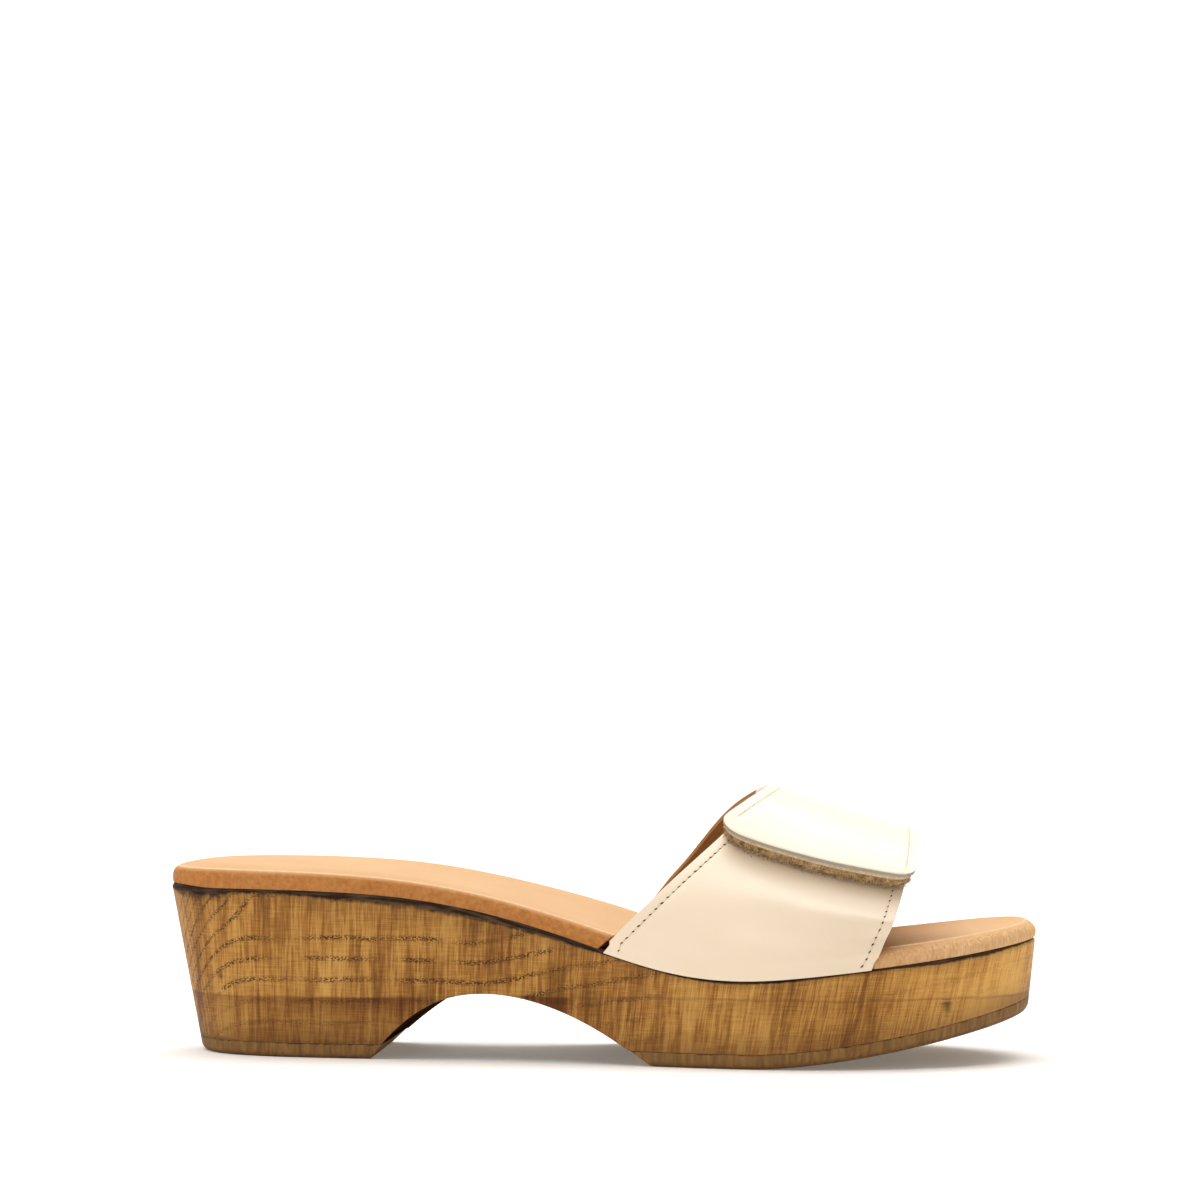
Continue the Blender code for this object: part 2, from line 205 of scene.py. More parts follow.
def woodUnderside(side, x):
    return np.maximum(arch(side, x), tread(x) + soleForm["wearLayer"] + soleForm["seam"])


def stations(count, start=0.0, end=soleForm["length"], extra=()):
    # evenly turned from one x to another, so they close up at heel and toe
    angles = np.linspace(float(stationAngle(start)), float(stationAngle(end)), count + 1)
    return np.sort(np.append(angles, [float(stationAngle(x)) for x in extra]))


def ring(anglesOf, point):
    # towards the toe on the lateral side, back on the medial side
    return np.vstack([point(lateral, anglesOf[lateral]), point(medial, anglesOf[medial])[::-1]])


def loftFaces(rings, count):
    i = np.arange(count)
    j = (i + 1) % count
    faces = []
    for r in range(rings - 1):
        low, high = r * count, (r + 1) * count
        faces += np.stack([low + i, low + j, high + j, high + i], 1).tolist()
    k = np.arange(count // 2 - 1)
    for base, turn in ((0, -1), ((rings - 1) * count, 1)):
        cap = np.stack([base + k, base + k + 1, base + count - 2 - k, base + count - 1 - k], 1)
        faces += cap[:, ::turn].tolist()
    return faces


def addPiece(name, points, faces, materials, replaces=(), faceMaterial=None, fields=None,
             weld=False, sharp=40.0):
    # points in the clog's millimetres; fields are values for each point that a material reads
    mesh = bpy.data.meshes.new(name)
    mesh.from_pydata(((points + origin) * mm).tolist(), [], faces)
    for material in materials:
        mesh.materials.append(material)
    if faceMaterial is not None:
        mesh.polygons.foreach_set("material_index", np.asarray(faceMaterial, np.int32))
    for label, values in (fields or {}).items():
        field = mesh.attributes.new(label, "FLOAT", "POINT")
        field.data.foreach_set("value", np.asarray(values, np.float32))
    if weld:
        bm = bmesh.new()
        bm.from_mesh(mesh)
        bmesh.ops.remove_doubles(bm, verts=bm.verts, dist=1e-6)
        bmesh.ops.recalc_face_normals(bm, faces=bm.faces)
        bm.to_mesh(mesh)
        bm.free()
    mesh.shade_smooth()
    mesh.set_sharp_from_angle(angle=math.radians(sharp))
    piece = bpy.data.objects.new(name, mesh)
    bpy.context.scene.collection.objects.link(piece)
    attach(piece, "root")
    if replaces:
        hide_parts(*replaces)
    return piece


def hexLinear(code, alpha=1.0):
    parts = [int(code[i:i + 2], 16) / 255 for i in (1, 3, 5)]
    return (*[c / 12.92 if c <= 0.04045 else ((c + 0.055) / 1.055) ** 2.4 for c in parts], alpha)


def addNode(tree, kind, inputs=(), out=None, **settings):
    # adds one node, sets it up, and links or fills its open sockets, in order from a list or by name
    # from a dictionary; hands back the output asked for, or else the first open one
    made = tree.nodes.new("ShaderNode" + kind)
    for name, value in settings.items():
        setattr(made, name, value)
    if isinstance(inputs, dict):
        filled = [(made.inputs[name], value) for name, value in inputs.items()]
    else:
        filled = list(zip([socket for socket in made.inputs if socket.enabled], inputs))
    for socket, value in filled:
        if isinstance(value, bpy.types.NodeSocket):
            tree.links.new(value, socket)
        else:
            socket.default_value = hexLinear(value) if isinstance(value, str) else value
    return next(s for s in made.outputs if s.enabled) if out is None else made.outputs[out]


def newMaterial(name, **sockets):
    # a material with the values that are even all over, and its node tree
    material = bpy.data.materials.new(name)
    material.use_nodes = True
    shader = material.node_tree.nodes["Principled BSDF"]
    for socket, value in sockets.items():
        shader.inputs[socket.replace("_", " ")].default_value = value
    return material, material.node_tree


def millimetres(tree):
    # the place on the piece
    place = addNode(tree, "TexCoord", out=3)
    return addNode(tree, "VectorMath", [place, (1 / mm,) * 3], operation="MULTIPLY")


def pattern(tree, texture, at, cell, sockets=(), **settings):
    # a texture whose cell has a real size, the same every way or one for each axis
    cells = cell if isinstance(cell, tuple) else (cell,) * 3
    at = addNode(tree, "VectorMath", [at, cells], operation="DIVIDE")
    return addNode(tree, texture, {"Vector": at, "Scale": 1.0, **dict(sockets)}, **settings)


def coat(tree, colour, at, layer):
    # lays a shade over a colour, at full strength up to where the layer starts and gone past its end
    start, end, strength, shade = layer
    share = addNode(tree, "MapRange", [at, start, end, strength, 0.0])
    return addNode(tree, "Mix", [share, colour, shade], data_type="RGBA")


def dress(material, colour, relief=None, strength=0.0, depth=0.0, roughness=None, **bump):
    # links what varies: colour, a bump whose depth is in millimetres, and roughness
    tree = material.node_tree
    linked = {"Base Color": colour, "Roughness": roughness}
    if relief is not None:
        height = {"Strength": strength, "Distance": depth * mm, "Height": relief}
        linked["Normal"] = addNode(tree, "Bump", height, **bump)
    for socket, value in linked.items():
        if value is not None:
            tree.links.new(value, tree.nodes["Principled BSDF"].inputs[socket])
    return material


# Camera: the photograph's angle, in millimetres and degrees
photoView = {
    "from": (25.418, -1050.0, 100.0),
    "yaw": -1.5,
    "pitch": 1.685,
    "roll": 0.6,
    "focalPixels": 3622.03,
    "framePixels": 1200,
    "sensor": 36.0,
    "clip": (0.05, 50.0),  # metres
}


def addCamera():
    yaw, pitch, roll = (math.radians(photoView[k]) for k in ("yaw", "pitch", "roll"))
    level = math.cos(pitch)
    forward = Vector((math.sin(yaw) * level, math.cos(yaw) * level, math.sin(pitch)))
    right = forward.cross(Vector((0, 0, 1))).normalized()
    up = right.cross(forward)
    rolledRight = right * math.cos(roll) + up * math.sin(roll)
    rolledUp = up * math.cos(roll) - right * math.sin(roll)
    data = bpy.data.cameras.new("photo_camera")
    data.sensor_width = photoView["sensor"]
    data.lens = photoView["focalPixels"] * photoView["sensor"] / photoView["framePixels"]
    data.clip_start, data.clip_end = photoView["clip"]
    camera = bpy.data.objects.new("photo_camera", data)
    turn = Matrix((rolledRight, rolledUp, -forward)).transposed().to_4x4()
    camera.matrix_world = Matrix.Translation(Vector(photoView["from"]) * mm) @ turn
    bpy.context.scene.collection.objects.link(camera)
    bpy.context.scene.camera = camera


# Studio: a lit white table that sweeps up behind, a broad light overhead, little from the front
studio = {
    "floorBack": 2.6,
    "floorFront": 4.0,
    "floorSide": 5.0,
    "sweepRadius": 1.2,
    "sweepSteps": 16,
    "wallTop": 4.0,
    "tableGlow": 0.17,
    "tent": (0.8, 0.17, 0.36),  # brightest from this height of a heading, glow at the horizon and there
    # name, place in metres, aimed at, width, depth, watts
    "lights": (
        ("overhead_softbox", (-0.1, 0.12, 1.5), (0.0, 0.0, 0.0), 3.2, 1.2, 35.5),
        ("rear_softbox", (0.1, 0.75, 1.3), (0.0, 0.0, 0.05), 1.0, 0.6, 1.5),
        ("front_fill", (-0.6, -2.2, 0.7), (0.0, 0.0, 0.05), 1.2, 0.8, 5.5),
        ("back_wall_wash", (0.0, 1.6, 2.6), (0.0, 4.0, 0.6), 3.0, 0.6, 70.0),
    ),
}


def whiteAcrylicLit():
    # opal acrylic lit from below: an even white on which shadows stay thin
    return newMaterial(
        "whiteAcrylicLit", Roughness=0.9, Specular_IOR_Level=0.1, Base_Color=hexLinear("#f5f4f3"),
        Emission_Color=hexLinear("#fff1e0"), Emission_Strength=studio["tableGlow"],
    )[0]


def addTable(material):
    profile = [(-studio["floorFront"], 0.0), (studio["floorBack"], 0.0)]
    for turn in np.linspace(0, math.pi / 2, studio["sweepSteps"] + 1)[1:]:
        y = studio["floorBack"] + studio["sweepRadius"] * math.sin(turn)
        profile.append((y, studio["sweepRadius"] * (1 - math.cos(turn))))
    profile.append((profile[-1][0], studio["wallTop"]))
    points = [(x, y, z) for y, z in profile for x in (-studio["floorSide"], studio["floorSide"])]
    faces = [(i, i + 1, i + 3, i + 2) for i in range(0, len(points) - 2, 2)]
    mesh = bpy.data.meshes.new("white_table")
    mesh.from_pydata(points, [], faces)
    mesh.shade_smooth()
    mesh.materials.append(material)
    table = bpy.data.objects.new("white_table", mesh)
    bpy.context.scene.collection.objects.link(table)


def addLights():
    for name, place, aim, width, depth, watts in studio["lights"]:
        data = bpy.data.lights.new(name, "AREA")
        data.shape, data.size, data.size_y, data.energy = "RECTANGLE", width, depth, watts
        light = bpy.data.objects.new(name, data)
        light.location = place
        light.rotation_mode = "QUATERNION"
        light.rotation_quaternion = (Vector(aim) - Vector(place)).to_track_quat("-Z", "Y")
        bpy.context.scene.collection.objects.link(light)


def addTent():
    # a white tent round the table, brighter towards its top
    world = bpy.data.worlds.new("white_tent")
    world.use_nodes = True
    tree = world.node_tree
    height = addNode(tree, "SeparateXYZ", [addNode(tree, "TexCoord")], out=2)
    glow = addNode(tree, "MapRange", [height, 0.0, *studio["tent"]])
    tree.nodes["Background"].inputs["Color"].default_value = hexLinear("#fff8f0")
    tree.links.new(glow, tree.nodes["Background"].inputs["Strength"])
    bpy.context.scene.world = world


addCamera()
addTable(whiteAcrylicLit())
addLights()
addTent()
bpy.context.scene.view_settings.view_transform = "Standard"
print("camera and studio")

# Wooden sole: one carved block, two planks high
woodenSole = {
    "stations": 320,
    "wallRows": 30,
    "chamferRows": (0.35, 0.7, 1.0),
    "lowerBevel": 0.1,
    "paintedUnderShade": 0.92,  # how dark the underside is painted, as shade under the arch
    # x, how far the leather hangs over the chamfer
    "leatherEdge": ((0, 0.4), (16, 0.95), (70, 0.95), (215, 0.5), (250, 0.45)),
    # x, width of the dark line under the leather: a burnt edge with painted shadow of the leather's edge
    "burntAndShadowLine": (
        (0, 1.5), (3, 2.6), (6, 3.2), (9, 3.5), (16, 2.9), (20, 1.6), (29, 1.1), (36, 1.3), (42, 1.7),
        (49, 2.4), (56, 2.1), (69, 2.5), (90, 2.3), (105, 1.8), (120, 1.2), (128, 0.6), (140, 0.5),
        (160, 0.8), (180, 0.6), (200, 0.25), (207, 0.3), (213, 0.7), (221, 1.1), (229, 0.9),
        (233, 1.2), (240, 0.6), (250, 0.4),
    ),
    # saw marks: width, length in millimetres, detail, share of the tone
    "streaks": {
        "hair": (0.4, 7.0, 2.0, 0.30),
        "fine": (1.1, 13.0, 3.0, 0.26),
        "broad": (3.4, 26.0, 2.0, 0.20),
        "tone": (20.0, 40.0, 1.0, 0.24),
    },
    "weft": ((6.0, 6.0, 0.4), 0.13),  # faint level lines: their cell, share of the tone
    "slant": ((90.0, 0.02), (190.0, 0.20)),  # x and forward lean of the saw marks
    "throughSole": 0.02,  # how much a mark changes from one wall through to the other
    "underFacing": (-0.3, -0.5),  # faces that look down by so much are sawn lengthwise
    # single darker streaks: x, half width, strength; the soft edge in half widths, the tone taken off
    "darkStreaks": (
        (9.5, 1.0, 0.45), (28.6, 2.6, 0.32), (71.0, 3.0, 0.22), (112.0, 4.0, 0.3), (208.0, 1.6, 0.3),
    ),
    "streakEdge": (0.4, 1.3),
    "streakDepth": 0.16,
    "toePaleAndPaintedLight": (192.0, 238.0, 0.06, 1.26),  # lighter towards the toe, partly paler wood and partly painted light: from x to x, shift of the tone, brightening
    "shades": ("#774b1a", "#a77333", "#c99a50"),
    "shadeLimits": ((0.38, 0.50), (0.48, 0.62)),  # tones between which one shade turns to the next
    "wander": 20.0,  # what is level in the wood wanders at this scale
    "joint": ((30.0, 17.0), (150.0, 19.4)),  # x and height of the glue joint between the planks
    # where the lower plank took more stain: from x, to x, softness, strength
    "lowerPlank": (
        (-20.0, 40.0, 6.0, 0.5), (40.0, 76.0, 6.0, 0.85), (103.0, 116.5, 1.0, 0.95),
        (116.5, 232.0, 1.0, 0.12), (236.0, 262.0, 6.0, 0.5),
    ),
    "stain": "#a88a6d",
    "stainFade": (1.0, 7.0, 1.0, 0.4),  # from and to this depth under the joint, strength there
    # knots in the outer wall: x, height, half width, half height
    "knots": ((222.0, 17.6, 1.5, 2.6), (17.0, 22.5, 0.9, 1.6)),
    "ringSpacing": 5.9,
    "ringHeight": 34.0,  # one ring lies at this height in the heel
    "ringBend": (38.0, 2.1e-5),  # arches down behind this x by so much of its distance to the fourth
    "ringFan": (36.0, 0.7, 18.0, 26.0),  # fans out above this height, by this share, from x to x
    "ringClimb": (92.0, 0.2),  # climbs ahead of this x
    "ringRow": (0.06, 0.17),  # half width of a row of pores, in ring spacings
    "pore": (0.58, 0.58, 0.4),  # cell of a pore, larger than the real ones so that they show
    "porePatch": 16.0,
    # where the pores show: from, to, strength at both
    "poreUpper": (35.5, 37.5, 1.0, 0.15),  # few above the third ring
    "poreTurned": (34.0, 42.0, 1.0, 0.0),  # except where the rings turn down at the heel
    "poreReach": (110.0, 165.0, 0.9, 0.2),  # few in the forefoot
    "poreLowest": (15.0, 19.0, 0.4, 1.0),
    # layers of colour: where they start to fade, where they end, strength, shade
    "glueLine": (0.1, 0.6, 0.32, "#5c3a1b"),  # off the joint
    "grime": (4.0, 11.0, 0.45, "#5b3d22"),  # above the floor
    "smoke": (0.8, 4.0, 0.3, "#5a391c"),  # in widths of the dark line under the leather
    "charredAndShadow": (1.05, 1.6, 0.96),  # the same, without the colour; this black under the leather is partly painted shadow
    "ragged": 2.0,
    "wisp": (9.0, 1 / 2.6, 1.0),  # length of a grey wisp in the black, its height in widths of the line
}


def sawMarks(tree, x, y, z, run, weft):
    # how light the wood is: the saw ran upright at the heel, leant forward towards the toe, and ran
    # lengthwise underneath
    (leanFrom, leanHeel), (leanTo, leanToe) = woodenSole["slant"]
    slant = addNode(tree, "MapRange", [x, leanFrom, leanTo, leanHeel, leanToe])
    lean = addNode(tree, "Math", [slant, z], operation="MULTIPLY")
    along = addNode(tree, "Math", [x, lean], operation="SUBTRACT")
    around = addNode(tree, "Math", [run, lean], operation="SUBTRACT")
    depth = addNode(tree, "Math", [y, woodenSole["throughSole"]], operation="MULTIPLY")
    upright = addNode(tree, "CombineXYZ", [around, depth, z])
    lengthwise = addNode(tree, "CombineXYZ", [y, z, x])
    facing = addNode(tree, "NewGeometry", out=1)
    facingUp = addNode(tree, "SeparateXYZ", [facing], out=2)
    under = addNode(tree, "MapRange", [facingUp, *woodenSole["underFacing"]])
    sawn = addNode(tree, "Mix", [under, upright, lengthwise], data_type="VECTOR")
    tone = 0.0
    for width, length, detail, share in woodenSole["streaks"].values():
        streak = pattern(tree, "TexNoise", sawn, (width, width, length), {"Detail": detail})
        tone = addNode(tree, "Math", [streak, share, tone], operation="MULTIPLY_ADD")
    tone = addNode(tree, "Math", [weft, woodenSole["weft"][1], tone], operation="MULTIPLY_ADD")
    full, gone = woodenSole["streakEdge"]
    for middle, half, strength in woodenSole["darkStreaks"]:
        off = addNode(tree, "Math", [along, -middle], operation="ADD")
        off = addNode(tree, "Math", [off], operation="ABSOLUTE")
        deepest = -woodenSole["streakDepth"] * strength
        streak = addNode(tree, "MapRange", [off, full * half, gone * half, deepest, 0.0])
        tone = addNode(tree, "Math", [tone, streak], operation="ADD")
    return tone


def poreRows(tree, inMm, x, z, wander):
    # open pores in rows along the growth rings, which arch down to the heel and climb past the waist
    bendFrom, bendBy = woodenSole["ringBend"]
    fanFrom, fanBy, fanStart, fanFull = woodenSole["ringFan"]
    climbFrom, climbBy = woodenSole["ringClimb"]
    back = addNode(tree, "Math", [bendFrom, x], operation="SUBTRACT")
    back = addNode(tree, "Math", [back, 0.0], operation="MAXIMUM")
    back = addNode(tree, "Math", [back, 4.0], operation="POWER")
    rings = addNode(tree, "Math", [back, bendBy, z], operation="MULTIPLY_ADD")
    high = addNode(tree, "Math", [z, -fanFrom], operation="ADD")
    high = addNode(tree, "Math", [high, 0.0], operation="MAXIMUM")
    fan = addNode(tree, "MapRange", [x, fanStart, fanFull, 0.0, -fanBy])
    rings = addNode(tree, "Math", [high, fan, rings], operation="MULTIPLY_ADD")
    climb = addNode(tree, "Math", [x, -climbFrom], operation="ADD")
    climb = addNode(tree, "Math", [climb, 0.0], operation="MAXIMUM")
    rings = addNode(tree, "Math", [climb, -climbBy, rings], operation="MULTIPLY_ADD")
    rings = addNode(tree, "Math", [wander, 2.5, rings], operation="MULTIPLY_ADD")
    rings = addNode(tree, "Math", [rings, -woodenSole["ringHeight"]], operation="ADD")
    phase = addNode(tree, "Math", [rings, 1 / woodenSole["ringSpacing"], 0.5], operation="MULTIPLY_ADD")
    phase = addNode(tree, "Math", [phase], operation="FRACT")
    phase = addNode(tree, "Math", [phase, -0.5], operation="ADD")
    phase = addNode(tree, "Math", [phase], operation="ABSOLUTE")
    row = addNode(tree, "MapRange", [phase, *woodenSole["ringRow"], 1.0, 0.0])
    speck = pattern(tree, "TexVoronoi", inMm, woodenSole["pore"])
    speck = addNode(tree, "MapRange", [speck, 0.42, 0.62, 1.0, 0.0])
    patch = pattern(tree, "TexNoise", inMm, woodenSole["porePatch"], {"Detail": 1.0})
    patch = addNode(tree, "MapRange", [patch, 0.30, 0.52])
    upper = addNode(tree, "MapRange", [z, *woodenSole["poreUpper"]])
    turned = addNode(tree, "MapRange", [x, *woodenSole["poreTurned"]])
    upper = addNode(tree, "Math", [upper, turned], operation="MAXIMUM")
    reach = addNode(tree, "MapRange", [x, *woodenSole["poreReach"]])
    lowest = addNode(tree, "MapRange", [z, *woodenSole["poreLowest"]])
    pores = row
    for limit in (speck, patch, upper, reach, lowest):
        pores = addNode(tree, "Math", [pores, limit], operation="MULTIPLY")
    return pores


def stainedOakBandSawn(name, gloss):
    # ring-porous oak, band-sawn upright across the wall and wiped with brown stain: close upright
    # bands of light and dark, with dotted rows of open pores lying across them
    material, tree = newMaterial(name, IOR=1.5, Specular_IOR_Level=gloss)
    inMm = millimetres(tree)
    x, y, z = addNode(tree, "SeparateXYZ", [inMm]).node.outputs
    x = addNode(tree, "Math", [x, -origin[0]], operation="ADD")
    fields = ("run", "above", "paintedUnderShade", "burntAndShadow")
    run, above, paintedUnderShade, burntAndShadow = (addNode(tree, "Attribute", out=2, attribute_name=f) for f in fields)
    weft = pattern(tree, "TexNoise", inMm, woodenSole["weft"][0], {"Detail": 1.0})
    weft = addNode(tree, "Math", [weft, -0.5], operation="ADD")
    tone = sawMarks(tree, x, y, z, run, weft)
    # the toe is brightened, partly as paler wood and partly as painted light
    toeFrom, toeTo, toeShift, toeBright = woodenSole["toePaleAndPaintedLight"]
    toePaleAndPaintedLight = addNode(tree, "MapRange", [x, toeFrom, toeTo, 0.0, toeShift])
    tone = addNode(tree, "Math", [tone, toePaleAndPaintedLight], operation="ADD")
    colour, *lighter = woodenSole["shades"]
    for limits, shade in zip(woodenSole["shadeLimits"], lighter):
        share = addNode(tree, "MapRange", [tone, *limits])
        colour = addNode(tree, "Mix", [share, colour, shade], data_type="RGBA")
    toePaleAndPaintedLight = addNode(tree, "MapRange", [x, toeFrom, toeTo, 1.0, toeBright])
    colour = addNode(tree, "VectorMath", [colour, toePaleAndPaintedLight], operation="SCALE")

    # the lower plank took the stain darker at the heel, beside the arch and at the toe
    wander = pattern(tree, "TexNoise", inMm, woodenSole["wander"], {"Detail": 2.0})
    wander = addNode(tree, "Math", [wander, -0.5], operation="ADD")
    (rearX, rear), (frontX, front) = woodenSole["joint"]
    joint = addNode(tree, "MapRange", [x, rearX, frontX, rear, front])
    deep = addNode(tree, "Math", [joint, z], operation="SUBTRACT")
    deep = addNode(tree, "Math", [wander, 1.2, deep], operation="MULTIPLY_ADD")
    below = addNode(tree, "MapRange", [deep, -0.15, 0.25])
    fade = addNode(tree, "MapRange", [deep, *woodenSole["stainFade"]])
    darker = 0.0
    for start, end, soft, strength in woodenSole["lowerPlank"]:
        rise = addNode(tree, "MapRange", [x, start - soft, start + soft, 0.0, strength])
        fall = addNode(tree, "MapRange", [x, end - soft, end + soft, 1.0, 0.0])
        darker = addNode(tree, "Math", [rise, fall, darker], operation="MULTIPLY_ADD")
    for limit in (below, fade):
        darker = addNode(tree, "Math", [darker, limit], operation="MULTIPLY")
    stained = [darker, colour, woodenSole["stain"]]
    colour = addNode(tree, "Mix", stained, data_type="RGBA", blend_type="MULTIPLY")
    offJoint = addNode(tree, "Math", [deep], operation="ABSOLUTE")
    colour = coat(tree, colour, offJoint, woodenSole["glueLine"])

    pores = poreRows(tree, inMm, x, z, wander)
    colour = addNode(tree, "Mix", [pores, colour, "#33200c"], data_type="RGBA")
    outerWall = addNode(tree, "Math", [y, 0.0], operation="LESS_THAN")
    flat = addNode(tree, "CombineXYZ", [x, z, 0.0])
    for knotX, knotZ, halfWidth, halfHeight in woodenSole["knots"]:
        away = addNode(tree, "VectorMath", [flat, (knotX, knotZ, 0.0)], operation="SUBTRACT")
        away = addNode(tree, "VectorMath", [away, (halfWidth, halfHeight, 1.0)], operation="DIVIDE")
        away = addNode(tree, "VectorMath", [away], operation="LENGTH")
        away = addNode(tree, "Math", [weft, 1.2, away], operation="MULTIPLY_ADD")
        knot = addNode(tree, "MapRange", [away, 0.2, 1.3, 0.8, 0.0])
        knot = addNode(tree, "Math", [knot, outerWall], operation="MULTIPLY")
        colour = addNode(tree, "Mix", [knot, colour, "#4b2d12"], data_type="RGBA")

    # handled edges are darker along the floor; the underside is painted dark as shade under the arch, and
    # under the leather the edge is burnt black with painted shadow in the black
    colour = coat(tree, colour, above, woodenSole["grime"])
    # painted shade: the underside is painted near black to stand for the shade under the arch
    colour = addNode(tree, "Mix", [paintedUnderShade, colour, "#20150c"], data_type="RGBA")
    colour = coat(tree, colour, burntAndShadow, woodenSole["smoke"])
    # the black right under the leather is partly the burnt edge and partly painted shadow of the
    # leather's edge
    wisp = addNode(tree, "CombineXYZ", [run, burntAndShadow, 0.0])
    wisp = pattern(tree, "TexNoise", wisp, woodenSole["wisp"], {"Detail": 3.0})
    wisp = addNode(tree, "MapRange", [wisp, 0.45, 0.68])
    charAndShadow = addNode(tree, "Mix", [wisp, "#120b06", "#553f2c"], data_type="RGBA")
    ragged = pattern(tree, "TexNoise", inMm, woodenSole["ragged"], {"Detail": 4.0})
    ragged = addNode(tree, "Math", [ragged, 0.9, burntAndShadow], operation="MULTIPLY_ADD")
    black = addNode(tree, "MapRange", [ragged, *woodenSole["charredAndShadow"], 0.0])
    colour = addNode(tree, "Mix", [black, colour, charAndShadow], data_type="RGBA")
    relief = addNode(tree, "Math", [pores, -1.2, tone], operation="MULTIPLY_ADD")
    roughness = addNode(tree, "MapRange", [black, 0.0, 1.0, 0.58, 0.8])
    return dress(material, colour, relief, 0.3, 0.25, roughness)


def outlineRun(angles):
    # distance along the rim from the back of the heel, evened out so that both sides meet at the toe
    outer, inner = (runLength(rimPoint(side, angles)) for side in (lateral, medial))
    return np.concatenate([outer, (inner * outer[-1] / inner[-1])[::-1]])


def addWoodenSole(walls, underside):
    drop, inset = soleForm["chamferDrop"], soleForm["chamferInset"]
    bevel = woodenSole["lowerBevel"]
    corners = []
    for height in (0.0, soleForm["wearLayer"] + soleForm["seam"]):
        corners += [breastX(lateral, height), breastX(medial, height), ballX(height)]
    angles = stations(woodenSole["stations"], extra=corners)
    anglesOf = {lateral: angles, medial: angles}

    def wallRow(share):
        def point(side, a):
            def height(x):
                return between(woodUnderside(side, x) + bevel, rimHeight(x) - drop, share)
            return onWall(side, a, height)
        return ring(anglesOf, point)

    def chamferRow(share):
        def height(x):
            return rimHeight(x) - drop * (1 - share)
        return ring(anglesOf, lambda side, a: onWall(side, a, height, inset * share))

    rows = [ring(anglesOf, lambda side, a: onWall(side, a, lambda x: woodUnderside(side, x), bevel))]
    rows += [wallRow(share) for share in np.linspace(0, 1, woodenSole["wallRows"])]
    rows += [chamferRow(share) for share in woodenSole["chamferRows"]]
    points = np.vstack(rows)
    rimX = ring(anglesOf, rimPoint)[:, 0]
    leatherEdge = np.interp(rimX, *np.transpose(woodenSole["leatherEdge"]))
    burntAndShadowWidth = np.interp(rimX, *np.transpose(woodenSole["burntAndShadowLine"]))
    fall = np.tile(rimHeight(rimX) - leatherEdge, len(rows)) - points[:, 2]
    fields = {
        "burntAndShadow": fall / np.tile(burntAndShadowWidth, len(rows)),
        "run": np.tile(outlineRun(angles), len(rows)),
        "above": points[:, 2] - tread(points[:, 0]),
        "paintedUnderShade": np.repeat([woodenSole["paintedUnderShade"]] + [0.0] * (len(rows) - 1), len(rows[0])),
    }
    faces = loftFaces(len(rows), len(rows[0]))
    # the faces that touch the first ring alone are the underside
    below = [int(max(face) < len(rows[0])) for face in faces]
    addPiece(
        "wooden_sole_carved", points, faces, [walls, underside], ["wooden_sole"],
        faceMaterial=below, fields=fields, weld=True,
    )


# the underside was left dry, without the wall's satin
addWoodenSole(stainedOakBandSawn("stainedOakBandSawn", 0.2), stainedOakBandSawn("stainedOakDrySawn", 0.0))
print("wooden sole")

# Wear layers: heel top lift and forefoot outsole, ground flush with the wood
wearLayers = {
    "stations": 160,
    # inset, height: rounded at the floor, a fine break at the wood
    "edge": (
        (1.4, 0.0), (0.85, 0.22), (0.4, 0.7), (0.12, 1.3), (0.0, 1.9), (0.0, 2.7), (0.0, 3.98),
        (0.08, 4.06),
    ),
    "scratch": (1.2, 1.2, 25.0),  # cell of a scratch, upright
    "crumb": 0.5,
    "cloud": 16.0,
    "darkened": (0.2, 1.6, 0.6, "#38260f"),  # dark layer at the floor: from and to this height, strength
    "glueDash": 2.6,
    "glueFrom": (3.65, 3.95),  # the glue shows above this height
}


def brownRubberGround():
    # brown sole rubber ground on the same belt as the wood: matt, with faint upright scratches, dark
    # where it meets the floor and in a broken line where it is glued on
    material, tree = newMaterial("brownRubberGround", Roughness=0.75, IOR=1.52, Specular_IOR_Level=0.3)
    inMm = millimetres(tree)
    above = addNode(tree, "Attribute", out=2, attribute_name="above")
    scratch = pattern(tree, "TexNoise", inMm, wearLayers["scratch"], {"Detail": 3.0})
    streaky = addNode(tree, "MapRange", [scratch, 0.3, 0.7])
    colour = addNode(tree, "Mix", [streaky, "#6c4b26", "#9a723c"], data_type="RGBA")
    cloud = pattern(tree, "TexNoise", inMm, wearLayers["cloud"], {"Detail": 2.0})
    dusty = addNode(tree, "MapRange", [cloud, 0.4, 0.65, 0.0, 0.4])
    colour = addNode(tree, "Mix", [dusty, colour, "#86643b"], data_type="RGBA")
    colour = coat(tree, colour, above, wearLayers["darkened"])
    dash = pattern(tree, "TexNoise", inMm, wearLayers["glueDash"], {"Detail": 2.0})
    dash = addNode(tree, "MapRange", [dash, 0.48, 0.62, 0.0, 0.8])
    glue = addNode(tree, "MapRange", [above, *wearLayers["glueFrom"]])
    glue = addNode(tree, "Math", [glue, dash], operation="MULTIPLY")
    colour = addNode(tree, "Mix", [glue, colour, "#2a190b"], data_type="RGBA")
    crumb = pattern(tree, "TexNoise", inMm, wearLayers["crumb"], {"Detail": 3.0})
    relief = addNode(tree, "Math", [crumb, 0.5, scratch], operation="MULTIPLY_ADD")
    return dress(material, colour, relief, 0.3, 0.2)


